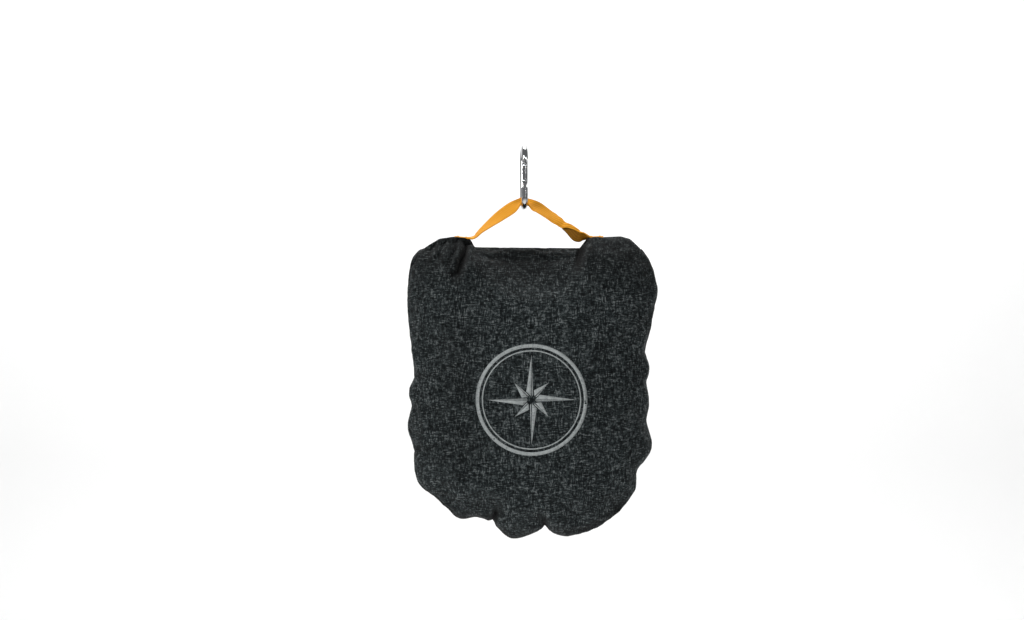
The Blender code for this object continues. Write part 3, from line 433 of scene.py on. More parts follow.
# Creases in the cloth: (across, down) of each bend, then how deep and how wide the groove is, and how
# high the ridges beside it stand.
FRONT_CREASES = (
    (((-66.5, 3), (-71.5, 24.8), (-77.7, 41.2), (-80, 58)), 16.0, 6.2, 2.6),
    (((-78, 4), (-85, 20), (-91, 40)), 10.0, 3.8, 2.0),
    (((-88, 5), (-95, 18), (-101, 34)), 8.0, 3.3, 1.6),
    (((-98, 6), (-104, 16), (-109, 28)), 5.5, 2.8, 1.2),
    (((53, -2), (50.4, 15), (47.4, 26), (43.5, 42)), 18.0, 5.0, 2.6),
    (((-118, 142), (-100, 140), (-86, 136)), 2.6, 3.5, 0.8),
    (((-121, 172), (-104, 173), (-92, 177)), 2.8, 3.5, 0.8),
    (((-119, 218.5), (-104, 213), (-92, 209)), 2.8, 3.5, 0.8),
    (((-98.5, 265), (-90, 256), (-83, 247)), 2.4, 3.5, 0.8),
    (((-56.5, 285), (-53, 274), (-50, 262)), 2.4, 3.5, 0.8),
    (((-41, 289), (-36.5, 280), (-33, 268)), 12.0, 5.6, 2.0),
    (((14, 300), (11.5, 288), (8, 275)), 12.0, 5.2, 2.0),
    (((87, 277), (80, 266), (74, 256)), 2.4, 3.5, 0.8),
    (((105, 239.5), (93, 236), (83, 231)), 3.0, 3.5, 0.8),
    (((115, 187.5), (101, 188), (90, 190)), 2.8, 3.5, 0.8),
    (((115, 148), (101, 150), (91, 153)), 2.6, 3.5, 0.8),
    (((113, 117.5), (99, 120), (88, 124)), 3.0, 3.5, 0.8),
)
PUFFS = (  # where the front stands proud or sinks: across, down, how far, and over what radius
    (-93, 30, 4.5, 20), (82, 28, 5.5, 24), (-8, 12, -4.0, 34),
    (-74, 95, -3.2, 27), (-74, 150, -3.8, 27), (-74, 210, -3.6, 28),
    (97, 120, 3.0, 30), (95, 180, 3.4, 32), (88, 230, 3.0, 28),
)
BACK_CREASES = (
    (((-121, 142), (-100, 146), (-84, 150)), 3.0, 4.0, 1.0),
    (((-121, 218.5), (-100, 208), (-84, 200)), 3.0, 4.0, 1.0),
    (((-41, 287), (-38, 268), (-36, 250)), 3.6, 4.0, 1.0),
    (((14, 298), (12, 278), (8, 262)), 3.4, 4.0, 1.0),
    (((106, 239.5), (92, 230), (80, 220)), 3.0, 4.0, 1.0),
    (((115, 187.5), (98, 184), (86, 182)), 2.8, 4.0, 1.0),
    (((114, 117.5), (98, 122), (86, 128)), 2.6, 4.0, 1.0),
    (((57, 3), (54, 18), (50, 32)), 3.4, 4.0, 1.0),
    (((-63, 4), (-64, 18), (-68, 32)), 3.4, 4.0, 1.0),
)


def distance_to(line, spots):
    """Each spot's distance to the line, the nearest place as a share of its length, and the way there."""
    line = np.array(line, float)
    legs = np.linalg.norm(np.diff(line, axis=0), axis=1)
    best, at, gone, way = np.full(len(spots), 1e9), np.zeros(len(spots)), 0.0, np.zeros((len(spots), 2))
    for start, end, leg in zip(line[:-1], line[1:], legs):
        t = np.clip(((spots - start) @ (end - start)) / leg**2, 0, 1)
        towards = start + t[:, None] * (end - start) - spots
        away = np.linalg.norm(towards, axis=1)
        nearer = away < best
        best, at = np.where(nearer, away, best), np.where(nearer, gone + t * leg, at)
        way = np.where(nearer[:, None], towards / np.maximum(away, 1e-6)[:, None], way)
        gone += leg
    return best, at / legs.sum(), way


ear_line = seam_points(12.0)
ear_line = ear_line[ear_line[:, 1] > POUCH_TOP - 30]
ear_line = ear_line[np.argsort(ear_line[:, 0])]


TIGHT_FOLD = 11  # a fold deeper than this has lips that come together
STITCHED = 7  # how far from the seam the cloth is held by it


def creased(points, normals, creases):
    """The cloth with its creases pressed in, and how deep in a fold each point is."""
    spots = np.stack([points[:, 0] - POUCH_OFFSET, POUCH_TOP - points[:, 2]], 1)
    level = np.clip((spots[:, 1] - 7) / 5, 0, 1)  # nothing lifts the cloth into the sewn ends of the webbing
    from_seam = np.clip(np.abs(points[:, 1]) / STITCHED, 0, 1)
    push = np.zeros(len(points))
    for across, down, height, radius in PUFFS if points[:, 1].mean() < 0 else ():
        push += height * np.exp(-((np.hypot(spots[:, 0] - across, spots[:, 1] - down) / radius) ** 2))
    closed = np.zeros((len(points), 2))
    for line, deep, wide, ridge in creases:
        away, along, way = distance_to(line, spots)
        fade = np.clip((1 - along) / 0.6, 0, 1) * np.exp(-((np.maximum(away - 3 * wide, 0) / wide) ** 2))
        fade = fade * fade * (3 - 2 * fade)
        groove = np.exp(-((away / wide) ** 2))
        beside = np.exp(-(((away - 2.2 * wide) / (1.2 * wide)) ** 2))
        push += fade * (ridge * beside - deep * groove)
        if deep > TIGHT_FOLD:
            lips = 0.5 * wide * np.exp(-(((away - 2.3 * wide) / (1.3 * wide)) ** 2))
            closed += way * (fade * from_seam * lips)[:, None]
    points = points + np.stack([closed[:, 0] * level, np.zeros(len(points)), -closed[:, 1] * level], 1)
    outwards = np.stack([0.3 * normals[:, 0], np.sign(points[:, 1]), 0.3 * normals[:, 2] * level], 1)
    off_seam = np.abs(points[:, 1])
    nearest = 0.2 * off_seam * level + np.minimum(off_seam, 8.8) * (1 - level)  # the webbing is 7.5 mm either way
    moved = np.maximum(push * from_seam, nearest - off_seam)
    points = points + outwards * moved[:, None]
    at_ear = (np.abs(points[:, 1]) < 14) & (points[:, 2] > POUCH_TOP - 12)
    lowered = np.minimum(points[:, 2], np.interp(points[:, 0], ear_line[:, 0], ear_line[:, 1]))
    points[:, 2] = np.where(at_ear, lowered, points[:, 2])  # so that the webbing lies on the cloth
    return points, np.clip(-push / 10, 0, 1)


NIPPED = ((-40.5, 288.5, 2.4, 3.6), (13, 299, 6.5, 5.0))  # across, down, how deep and how wide


def nipped(points):
    """The seam drawn in further at the two tight folds along the bottom."""
    points = points.copy()
    for across, down, depth, half_width in NIPPED:
        spots = points[:, [0, 2]] - (POUCH_OFFSET + across, POUCH_TOP - down)
        inwards = POUCH_CENTRE - (POUCH_OFFSET + across, POUCH_TOP - down)
        inwards /= np.linalg.norm(inwards)
        away = spots @ inwards
        beside = spots @ (inwards[1], -inwards[0])
        fade = (np.maximum(away, 0) / 9) ** 2 + (points[:, 1] / 16) ** 2
        pull = depth * np.exp(-((beside / half_width) ** 2) - fade)
        points[:, [0, 2]] += inwards * pull[:, None]
    return points


def rolled_under(points, side):
    """Low on the left the back panel bulges out past the seam."""
    points = nipped(points)
    arm = points[:, [0, 2]] - POUCH_CENTRE
    angle = np.degrees(np.arctan2(arm[:, 1], arm[:, 0])) % 360
    where = np.exp(-(((angle - 226) / 17) ** 4))
    out = arm / np.maximum(np.linalg.norm(arm, axis=1), 1)[:, None]
    y = np.abs(points[:, 1])
    if side < 0:
        shift = -2.6 * np.exp(-((y / 14) ** 2))
    else:
        shift = -2.6 * np.exp(-((y / 3) ** 2)) + 1.4 * np.exp(-(((y - 14) / 9) ** 2))
    points[:, [0, 2]] += out * (shift * where)[:, None]
    points[:, 1] -= 4 * where * np.exp(-((y / 16) ** 2))
    return points


def finished_panel(name, points, faces, creases, side, finish):
    """Divides the cloth once, presses its creases in, and gives it its thickness inwards."""
    used = sorted({i for f in faces for i in f})
    number = {old: new for new, old in enumerate(used)}
    rough = piece(f"{name}_rough", points[used], [[number[i] for i in f] for f in faces], finish)
    finer = rough.modifiers.new("finer", "SUBSURF")
    finer.levels = finer.render_levels = 1
    fine = rough.evaluated_get(bpy.context.evaluated_depsgraph_get()).data
    spots = np.array([tuple(v.co) for v in fine.vertices]) * 1000
    normals = np.array([tuple(v.normal) for v in fine.vertices])
    quads = [tuple(p.vertices) for p in fine.polygons]
    bpy.data.objects.remove(rough)
    spots, pressed = creased(spots, normals, creases)
    spots = rolled_under(spots, side)
    uses = {}
    for q in quads:
        for a, b in zip(q, q[1:] + q[:1]):
            key = (min(a, b), max(a, b))
            uses[key] = uses.get(key, 0) + 1
    rim = np.array(sorted({i for key, n in uses.items() if n == 1 for i in key}))
    seam_rim = rim[np.abs(spots[rim, 1]) < 6]
    spots[seam_rim, 1] += side * 0.15
    made = piece(name, spots, quads, finish)
    # how deep in a fold each point is, which the material turns into painted shade
    made.data.attributes.new("painted_fold_shade", "FLOAT", "POINT").data.foreach_set("value", pressed)
    wall = made.modifiers.new("thickness", "SOLIDIFY")
    wall.thickness = CLOTH_THICKNESS / 1000
    wall.offset = -1
    wall.use_even_offset = False
    return made


# Plain weave: each thread, along and up the cloth, has thick and thin stretches of its own.
slubs, given, given_out = shader_group("slub_threads", (("Pitch", 1.0), ("Slub", 6.0)), ("Threads", "Weave"))
GRAIN = (0.95, 0.7, 0.95)  # of the yarn's own fuzz, per millimetre
wobble = node(slubs, "ShaderNodeTexNoise", {"Vector": given.outputs["Vector"], "Scale": 16.0, "Detail": 1.0})
bend = {0: wobble.outputs["Color"], 1: (0.0012, 0.0012, 0.0012), 2: given.outputs["Vector"]}
wavy = node(slubs, "ShaderNodeVectorMath", bend, operation="MULTIPLY_ADD")
place = node(slubs, "ShaderNodeVectorMath", {0: wavy.outputs[0], 1: (1000.0, 1000.0, 1000.0)}, operation="MULTIPLY")
pitch, slub = given.outputs["Pitch"], given.outputs["Slub"]


def counted(x, y, z):
    """Where a spot is, counted in threads or in slubs."""
    step = node(slubs, "ShaderNodeCombineXYZ", {0: x, 1: y, 2: z})
    divided = node(slubs, "ShaderNodeVectorMath", {0: place.outputs[0], 1: step.outputs[0]}, operation="DIVIDE")
    return node(slubs, "ShaderNodeSeparateXYZ", {0: divided.outputs[0]})


by_thread, by_slub = counted(pitch, slub, pitch), counted(slub, slub, slub)
threads_seen = []
for along, thread in ((0, 2), (2, 0)):
    number = maths(slubs, "FLOOR", by_thread.outputs[thread])
    apart = maths(slubs, "MULTIPLY_ADD", number, 3.17, 11.0 * thread)
    started = maths(slubs, "MULTIPLY_ADD", number, 0.377, by_slub.outputs[along])
    spot = node(slubs, "ShaderNodeCombineXYZ", {along: started, 1: by_slub.outputs[1], thread: apart})
    threads_seen.append(noise(slubs, spot.outputs[0], 1.0, 1.0, Roughness=0.7))
both = node(slubs, "ShaderNodeMix", {0: 0.5, 2: threads_seen[0], 3: threads_seen[1]})
small = node(slubs, "ShaderNodeVectorMath", {0: place.outputs[0], 1: GRAIN}, operation="MULTIPLY")
both = node(slubs, "ShaderNodeMix", {0: 0.2, 2: both.outputs[0], 3: noise(slubs, small.outputs[0], 1.0, 0.0)})
turns = [maths(slubs, "MULTIPLY", by_thread.outputs[axis], 2 * math.pi) for axis in (0, 2)]
crossed = maths(slubs, "MULTIPLY", *[maths(slubs, "SINE", turn) for turn in turns])
slubs.links.new(both.outputs[0], given_out.inputs["Threads"])
slubs.links.new(crossed, given_out.inputs["Weave"])


heather, tree, shader = shaded(
    "charcoal_heather", Roughness=0.95, Sheen_Weight=0.04, Sheen_Roughness=0.5, Specular_IOR_Level=0.12
)
where = own_place(tree)
cloth = node(tree, "ShaderNodeGroup", {"Vector": where, "Pitch": 1.05, "Slub": 6.0}, node_tree=slubs)
colour = ramp(
    tree, cloth.outputs["Threads"],
    ((0.37, (0.0008, 0.0014, 0.0016)), (0.45, (0.0055, 0.008, 0.0086)), (0.5, (0.0155, 0.02, 0.021)),
     (0.56, (0.042, 0.05, 0.051)), (0.65, (0.125, 0.138, 0.139))),
)
apart = node(tree, "ShaderNodeSeparateXYZ", {0: where})
# Painted shade: the cloth's colour is darkened towards the top, down in its folds, and beside the bottom seam
# low down, standing in for the shade that falls there.
painted_top_shade = spread(tree, apart.outputs["Z"], 1.0, 0.42, -0.165, -0.1, "SMOOTHSTEP")
from_seam = maths(tree, "ABSOLUTE", apart.outputs["Y"])
# painted shade along the seam, only low down on the pouch
painted_rim_shade = spread(tree, from_seam, 0.85, 0.0, 0.006, 0.03, "SMOOTHSTEP")
low = spread(tree, apart.outputs["Z"], 0.0, 1.0, -0.335, -0.372, "SMOOTHSTEP")
kept = maths(tree, "SUBTRACT", 1.0, maths(tree, "MULTIPLY", painted_rim_shade, low))
kept = maths(tree, "MULTIPLY", painted_top_shade, kept)


def painted_shade_in_folds(tree, shader, colour, least, kept=1.0):
    """Painted shade: the colour is darkened, down to least, where the piece's points say that they are inside a
    fold.
    """
    inside = node(tree, "ShaderNodeAttribute", attribute_name="painted_fold_shade").outputs["Fac"]
    painted_shade_factor = maths(tree, "MULTIPLY", spread(tree, inside, 1.0, least), kept)
    darker = node(tree, "ShaderNodeVectorMath", {0: colour, "Scale": painted_shade_factor}, operation="SCALE")
    tree.links.new(darker.outputs[0], shader.inputs["Base Color"])


painted_shade_in_folds(tree, shader, colour, 0.12, kept)
raised = maths(tree, "MULTIPLY_ADD", cloth.outputs["Weave"], 0.12, cloth.outputs["Threads"])
bumped(tree, shader, raised, 0.6, 0.0008)

centres = np.array([back_points[list(f)].mean(0) for f in back_faces])
off = np.abs(centres - (POUCH_OFFSET, 0, ZIP_Z))
in_slot = (off[:, 0] < SLOT_LENGTH / 2) & (off[:, 2] < SLOT_HEIGHT / 2)
upper = [f for f, c, s in zip(back_faces, centres, in_slot) if c[2] > ZIP_Z and not s]
lower = [f for f, c, s in zip(back_faces, centres, in_slot) if c[2] <= ZIP_Z and not s]


def cloth_area(obj):
    return sum(p.area for p in obj.data.polygons)


panels = []
for name, points, faces, creases, side, replaced, flat in (
    ("pouch_front", front_points, front_faces, FRONT_CREASES, -1, "front_panel", (0.33, 0.39)),
    ("pouch_back_upper", back_points, upper, BACK_CREASES, 1, "back_upper_panel", (0.31, 0.11)),
    ("pouch_back_lower", back_points, lower, BACK_CREASES, 1, "back_lower_panel", (0.33, 0.29)),
):
    panel = finished_panel(name, points, faces, creases, side, heather)
    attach(panel, "pouch")
    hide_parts(replaced)
    panels.append(panel)
front_panel, back_upper, back_lower = panels

# -------------------- Print on the front
# A plain wind rose inside a ring, screen-printed in pale grey ink. The ink is thin, lies on the cloth and
# moves with it, and the dark yarn shows through it in specks.

PRINT_CENTRE = (POUCH_OFFSET - 1.5, -254.0)
PRINT_RINGS = ((56.0, 52.5), (49.8, 48.6))
ROSE_LONG, ROSE_SHORT, ROSE_WAIST = 45.0, 24.0, 8.5
INK = 0.12
POINT_STEPS = 10


def print_triangles():
    """The print laid flat, as closed outlines."""
    shapes = []
    around = np.linspace(0, 2 * math.pi, 145)[:-1]
    for outer, inner in PRINT_RINGS:
        for a, b in zip(around, np.roll(around, -1)):
            corners = ((inner, a), (outer, a), (outer, b), (inner, b))
            shapes.append([(r * math.cos(t), r * math.sin(t)) for r, t in corners])
    for k in range(8):
        turn = k * math.pi / 4
        tip = ROSE_LONG if k % 2 == 0 else ROSE_SHORT
        along = np.array([math.cos(turn), math.sin(turn)])
        side = np.array([-along[1], along[0]])
        root = along * ROSE_WAIST * (1.0 if k % 2 == 0 else 1.25)
        for way in (1, -1):
            edge = along * ROSE_WAIST + way * side * ROSE_WAIST * 0.62
            start = root * 0.45 + way * side * 0.45
            for i in range(POINT_STEPS):
                rows = []
                for t in (i / POINT_STEPS, (i + 1) / POINT_STEPS):
                    middle = start + (along * tip - start) * t
                    rim = edge + (along * tip - edge) * t
                    if way < 0:
                        rim = middle + (rim - middle) * 0.22
                    rows.append((middle, rim))
                shapes.append([rows[0][0], rows[0][1], rows[1][1], rows[1][0]])
    return shapes


ink, tree, shader = shaded("print_ink", Roughness=0.7)
where = own_place(tree)
specks = node(tree, "ShaderNodeGroup", {"Vector": where, "Pitch": 1.05, "Slub": 5.5}, node_tree=slubs)
worn = maths(tree, "MULTIPLY_ADD", specks.outputs["Weave"], 0.03, specks.outputs["Threads"])
colour = ramp(
    tree, worn,
    ((0.34, (0.14, 0.15, 0.15)), (0.44, (0.25, 0.272, 0.272)),
     (0.55, (0.3, 0.325, 0.325)), (0.68, (0.38, 0.4, 0.4))),
)
tree.links.new(colour, shader.inputs["Base Color"])
bumped(tree, shader, worn, 0.3, 0.0004)

cloth_tree = BVHTree.FromObject(front_panel, bpy.context.evaluated_depsgraph_get())
points, faces = [], []
for shape in print_triangles():
    first = len(points)
    for x, z in shape:
        spot = Vector(((PRINT_CENTRE[0] + x) / 1000, -0.2, (PRINT_CENTRE[1] + z) / 1000))
        hit, normal, _, _ = cloth_tree.ray_cast(spot, Vector((0, 1, 0)))
        points.append((hit + normal * (INK + 0.05) / 1000) * 1000)
    faces.append(tuple(range(first, first + len(shape))))
front_print = piece("front_print", points, faces, ink)
shape = bmesh.new()
shape.from_mesh(front_print.data)
bmesh.ops.remove_doubles(shape, verts=shape.verts, dist=0.00003)
for face in list(shape.faces):
    if face.normal.y > 0:
        face.normal_flip()
shape.to_mesh(front_print.data)
shape.free()
thickness = front_print.modifiers.new("thickness", "SOLIDIFY")
thickness.thickness, thickness.offset = INK / 1000, -1
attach(front_print, "pouch")

# -------------------- Zip across the back
# Nylon coil on two woven tapes that are sewn under the edges of the two back panels, with a cast stop at
# each end. The whole zip is bent round the stuffing. Each half's coil is sewn down over a thin cord.

TAPE_FACE = ZIP_FACE - 1.2 - 1.0
TAPE_WIDTH, TAPE_THICKNESS = 10.0, 0.6
CHAIN_LENGTH, CHAIN_SPLIT, CHAIN_WIDTH, CHAIN_THICKNESS = 158.0, 0.9, 5.3, 1.8
COIL_PITCH, COIL_WIRE = 1.4, 0.36


def on_zip(along, out, up):
    """A point on the bent zip: along it from its middle, out from the tape's face, and up."""
    turn = along / ZIP_CURVE
    return (
        POUCH_OFFSET + (ZIP_CURVE + out) * math.sin(turn),
        TAPE_FACE - ZIP_CURVE + (ZIP_CURVE + out) * math.cos(turn),
        ZIP_Z + up,
    )


def swept(name, rings, finish, closed=False, uv=None):
    """A skin through rings of points, its ends closed. uv is each point's (along, across) in millimetres."""
    n, m = len(rings), len(rings[0])
    points = [p for ring in rings for p in ring]
    faces = []
    for i in range(n if closed else n - 1):
        for k in range(m):
            a, b = i * m + k, i * m + (k + 1) % m
            c, d = (i + 1) % n * m + (k + 1) % m, (i + 1) % n * m + k
            faces.append((a, b, c, d))
    if not closed:
        faces += [tuple(range(m))[::-1], tuple((n - 1) * m + k for k in range(m))]
    made = piece(name, points, faces, finish)
    cleaned(made.data, 0)
    if uv is not None:
        layer = made.data.uv_layers.new(name="along_across")
        spots = [(uv[0][i], uv[1][k]) for i in range(n) for k in range(m)]
        for loop in made.data.loops:
            layer.data[loop.index].uv = spots[loop.vertex_index]
    made.data.set_sharp_from_angle(angle=math.radians(50))
    return made


# Woven: ribs across a tape and the dips between its lengthwise yarns, from its UV in millimetres.
woven, given, given_out = shader_group(
    "woven_tape", (("Rib", 0.9), ("Wale", 1.2), ("Slant", 0.6)), ("Height", "Fuzz")
)
parts = node(woven, "ShaderNodeSeparateXYZ", {0: given.outputs["Vector"]})


def wave(tree, value, period, offset=0.0):
    turns = maths(tree, "DIVIDE", value, period)
    angle = maths(tree, "MULTIPLY_ADD", turns, 2 * math.pi, offset)
    return maths(tree, "SINE", angle)


across_wave = wave(woven, parts.outputs["Y"], given.outputs["Wale"])
slanted = maths(woven, "MULTIPLY_ADD", across_wave, given.outputs["Slant"], parts.outputs["X"])
rib_wave = wave(woven, slanted, given.outputs["Rib"])
height = maths(woven, "MULTIPLY_ADD", rib_wave, 0.28, 0.5)
height = maths(woven, "MULTIPLY_ADD", across_wave, 0.2, height)
fuzz = noise(woven, given.outputs["Vector"], 0.9, 3.0, Roughness=0.7)
woven.links.new(height, given_out.inputs["Height"])
woven.links.new(fuzz, given_out.inputs["Fuzz"])


def woven_finish(name, dark, light, rib, wale, roughness, lift=0.4, slant=0.6):
    made, tree, shader = shaded(name, Roughness=roughness, Specular_IOR_Level=0.15)
    where = node(tree, "ShaderNodeUVMap", uv_map="along_across").outputs[0]
    inputs = {"Vector": where, "Rib": rib, "Wale": wale, "Slant": slant}
    weave = node(tree, "ShaderNodeGroup", inputs, node_tree=woven)
    mixed = node(tree, "ShaderNodeMix", {0: 0.45, 2: weave.outputs["Height"], 3: weave.outputs["Fuzz"]})
    colour = ramp(tree, mixed.outputs[0], ((0.25, dark), (0.7, light)))
    tree.links.new(colour, shader.inputs["Base Color"])
    bumped(tree, shader, mixed.outputs[0], lift, 0.0005)
    return made


tape_cloth = woven_finish("zip_tape_weave", (0.008, 0.0095, 0.01), (0.024, 0.027, 0.028), 0.5, 0.9, 0.85)
for word, sign in (("upper", 1), ("lower", -1)):
    length = SLOT_LENGTH + 12
    along = np.linspace(-length / 2, length / 2, 60)
    near, far, half = sign * CHAIN_SPLIT / 2, sign * TAPE_WIDTH, TAPE_THICKNESS / 2
    rounded = sign * 0.3
    ring = [(-half * 2 + 0.1, near), (-half, near - sign * 0.12), (-0.1, near), (0, near + rounded)]
    ring += [(0, far - rounded), (-0.1, far), (-half, far), (-half * 2 + 0.1, far)]
    ring += [(-half * 2, far - rounded), (-half * 2, near + rounded)]
    rings = [[on_zip(a, out, up) for out, up in ring] for a in along]
    tape = swept(f"zip_tape_{word}_woven", rings, tape_cloth, uv=(along, [up for _, up in ring]))
    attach(tape, "pouch")
    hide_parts(f"zip_tape_{word}")

nylon, tree, shader = shaded("coil_nylon")
where = own_place(tree)
scuff = noise(tree, where, 700.0, 3.0)
colour = ramp(tree, scuff, ((0.3, (0.012, 0.013, 0.014)), (0.75, (0.035, 0.038, 0.04))))
tree.links.new(colour, shader.inputs["Base Color"])
tree.links.new(spread(tree, scuff, 0.28, 0.5), shader.inputs["Roughness"])


def tree_with(name, sockets):
    """A Geometry Nodes tree with a geometry socket, the named inputs, and its input and output nodes."""
    made = bpy.data.node_groups.new(name, "GeometryNodeTree")
    made.interface.new_socket("Geometry", in_out="INPUT", socket_type="NodeSocketGeometry")
    made.interface.new_socket("Geometry", in_out="OUTPUT", socket_type="NodeSocketGeometry")
    for socket, kind in sockets:
        made.interface.new_socket(socket, in_out="INPUT", socket_type=kind)
    return made, node(made, "NodeGroupInput"), node(made, "NodeGroupOutput")


# Threads laid along a line: each is a bent length of thread, so many for each length of line. Stitches
# and the turns of a zip's coil are both made by it.
FLOAT, FINISH = "NodeSocketFloat", "NodeSocketMaterial"
threads, given, given_out = tree_with(
    "threads_on_line",
    (("Spacing", FLOAT), ("Thread", FLOAT), ("Length", FLOAT), ("Rise", FLOAT), ("Turn", FLOAT), ("Loose", FLOAT),
     ("Round", "NodeSocketBool"), ("Finish", FINISH)),
)
line = node(threads, "GeometryNodeMeshToCurve", {0: given.outputs["Geometry"]})
spaced = node(
    threads, "GeometryNodeResampleCurve", {"Curve": line.outputs[0], "Length": given.outputs["Spacing"]},
    mode="LENGTH",
)
half_length = maths(threads, "MULTIPLY", given.outputs["Length"], 0.5)
half_back = maths(threads, "MULTIPLY", half_length, -1.0)
ends = [node(threads, "ShaderNodeCombineXYZ", {0: x}).outputs[0] for x in (half_back, half_length)]
crest = node(threads, "ShaderNodeCombineXYZ", {2: maths(threads, "MULTIPLY", given.outputs["Rise"], 2.0)})
bent = node(
    threads, "GeometryNodeCurveQuadraticBezier",
    {"Resolution": 4, "Start": ends[0], "Middle": crest.outputs[0], "End": ends[1]},
)
hoop = node(threads, "GeometryNodeCurvePrimitiveCircle", {"Resolution": 10, "Radius": 1.0})
upright = node(threads, "GeometryNodeTransform", {"Geometry": hoop.outputs[0], "Rotation": (math.pi / 2, 0, 0)})
size = node(threads, "ShaderNodeCombineXYZ", {0: half_length, 1: 1.0, 2: given.outputs["Rise"]})
sized = node(threads, "GeometryNodeTransform", {"Geometry": upright.outputs[0], "Scale": size.outputs[0]})
form = node(
    threads, "GeometryNodeSwitch", {0: given.outputs["Round"], 1: bent.outputs[0], 2: sized.outputs[0]},
    input_type="GEOMETRY",
)
section = node(threads, "GeometryNodeCurvePrimitiveCircle", {"Resolution": 5, "Radius": given.outputs["Thread"]})
thread = node(
    threads, "GeometryNodeCurveToMesh",
    {"Curve": form.outputs[0], "Profile Curve": section.outputs[0], "Fill Caps": True},
)
tangent = node(threads, "GeometryNodeInputTangent")
out = node(threads, "GeometryNodeInputNamedAttribute", {"Name": "out"}, data_type="FLOAT_VECTOR")
first_turn = node(threads, "FunctionNodeAlignRotationToVector", {"Vector": tangent.outputs[0]}, axis="X")
second_turn = node(
    threads, "FunctionNodeAlignRotationToVector",
    {"Rotation": first_turn.outputs[0], "Vector": out.outputs[0]}, axis="Z", pivot_axis="X",
)
jitter = node(threads, "FunctionNodeRandomValue", {"Seed": 7}, data_type="FLOAT")
threads.links.new(maths(threads, "MULTIPLY", given.outputs["Loose"], -1.0), jitter.inputs[2])
threads.links.new(given.outputs["Loose"], jitter.inputs[3])
spin = maths(threads, "ADD", given.outputs["Turn"], jitter.outputs[1])
spun = node(threads, "FunctionNodeAxisAngleToRotation", {"Axis": (0, 0, 1), "Angle": spin})
turned = node(
    threads, "FunctionNodeRotateRotation", {0: second_turn.outputs[0], 1: spun.outputs[0]},
    rotation_space="LOCAL",
)
placed = node(
    threads, "GeometryNodeInstanceOnPoints",
    {"Points": spaced.outputs[0], "Instance": thread.outputs[0], "Rotation": turned.outputs[0]},
)
real = node(threads, "GeometryNodeRealizeInstances", {0: placed.outputs[0]})
finished = node(
    threads, "GeometryNodeSetMaterial", {"Geometry": real.outputs[0], "Material": given.outputs["Finish"]}
)
threads.links.new(finished.outputs[0], given_out.inputs[0])


def threads_along(name, lines, finish, spacing, thread, length, rise, turn=0.0, loose=0.0, round_turns=False):
    """A mesh of threads along lines of (point, outwards) in millimetres."""
    mesh = bpy.data.meshes.new(name)
    points = [p for line in lines for p, _ in line]
    starts = np.cumsum([0] + [len(line) for line in lines])
    edges = [(int(s) + i, int(s) + i + 1) for s, line in zip(starts, lines) for i in range(len(line) - 1)]
    mesh.from_pydata([tuple(float(c) / 1000 for c in p) for p in points], edges, [])
    outwards = mesh.attributes.new("out", "FLOAT_VECTOR", "POINT")
    outwards.data.foreach_set("vector", np.array([o for line in lines for _, o in line], float).ravel())
    holder = linked(bpy.data.objects.new(name + "_line", mesh))
    laying = holder.modifiers.new("threads", "NODES")
    laying.node_group = threads
    wanted = {
        "Spacing": spacing / 1000, "Thread": thread / 1000, "Length": length / 1000, "Rise": rise / 1000,
        "Turn": turn, "Loose": loose, "Round": round_turns, "Finish": finish,
    }
    for item in threads.interface.items_tree:
        if item.in_out == "INPUT" and item.name in wanted:
            laying[item.identifier] = wanted[item.name]
    made = bpy.data.meshes.new_from_object(holder.evaluated_get(bpy.context.evaluated_depsgraph_get()))
    bpy.data.objects.remove(holder)
    obj = linked(bpy.data.objects.new(name, made))
    cleaned(made, 1e-6)
    made.shade_smooth()
    return obj


def zip_line(out, up, length=CHAIN_LENGTH, start=0.0):
    spots = np.linspace(-length / 2 + start, length / 2, 50)
    return [(on_zip(a, out, up), (math.sin(a / ZIP_CURVE), math.cos(a / ZIP_CURVE), 0)) for a in spots]


for word, sign in (("upper", 1), ("lower", -1)):
    middle = sign * (CHAIN_WIDTH / 4 + CHAIN_SPLIT / 4)
    start = 0.5 + (COIL_PITCH / 2 if sign > 0 else 0)
    path = zip_line(0.3 + CHAIN_THICKNESS / 2, middle, CHAIN_LENGTH - 2, start)
    turn_length = CHAIN_WIDTH / 2 - CHAIN_SPLIT / 2 - 2 * COIL_WIRE
    turn_rise = (CHAIN_THICKNESS - 2 * COIL_WIRE) / 2
    coil = threads_along(
        f"zip_coil_{word}_turns", [path], nylon, COIL_PITCH, COIL_WIRE, turn_length, turn_rise,
        math.pi / 2, round_turns=True,
    )
    turns = np.linspace(0, 2 * math.pi, 9)[:-1]
    along = np.linspace(-CHAIN_LENGTH / 2, CHAIN_LENGTH / 2, 50)
    section = [(1.2 + 0.42 * math.cos(t), middle + sign * 0.1 + 0.5 * math.sin(t)) for t in turns]
    rings = [[on_zip(a, out, up) for out, up in section] for a in along]
    core = swept(f"zip_cord_{word}", rings, tape_cloth, uv=(along, turns))
    for obj in (coil, core):
        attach(obj, "pouch")
    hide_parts(f"zip_coil_{word}")

# -------------------- Stitching round the zip
# Two rows of lockstitch hold each back panel down on its tape, in thread the colour of the cloth.

def thread_finish(name, dark, light, roughness):
    made, tree, shader = shaded(name, Roughness=roughness)
    twist = noise(tree, own_place(tree), 2500.0, 2.0)
    tree.links.new(ramp(tree, twist, ((0.3, dark), (0.7, light))), shader.inputs["Base Color"])
    bumped(tree, shader, twist, 0.4, 0.0002)
    return made


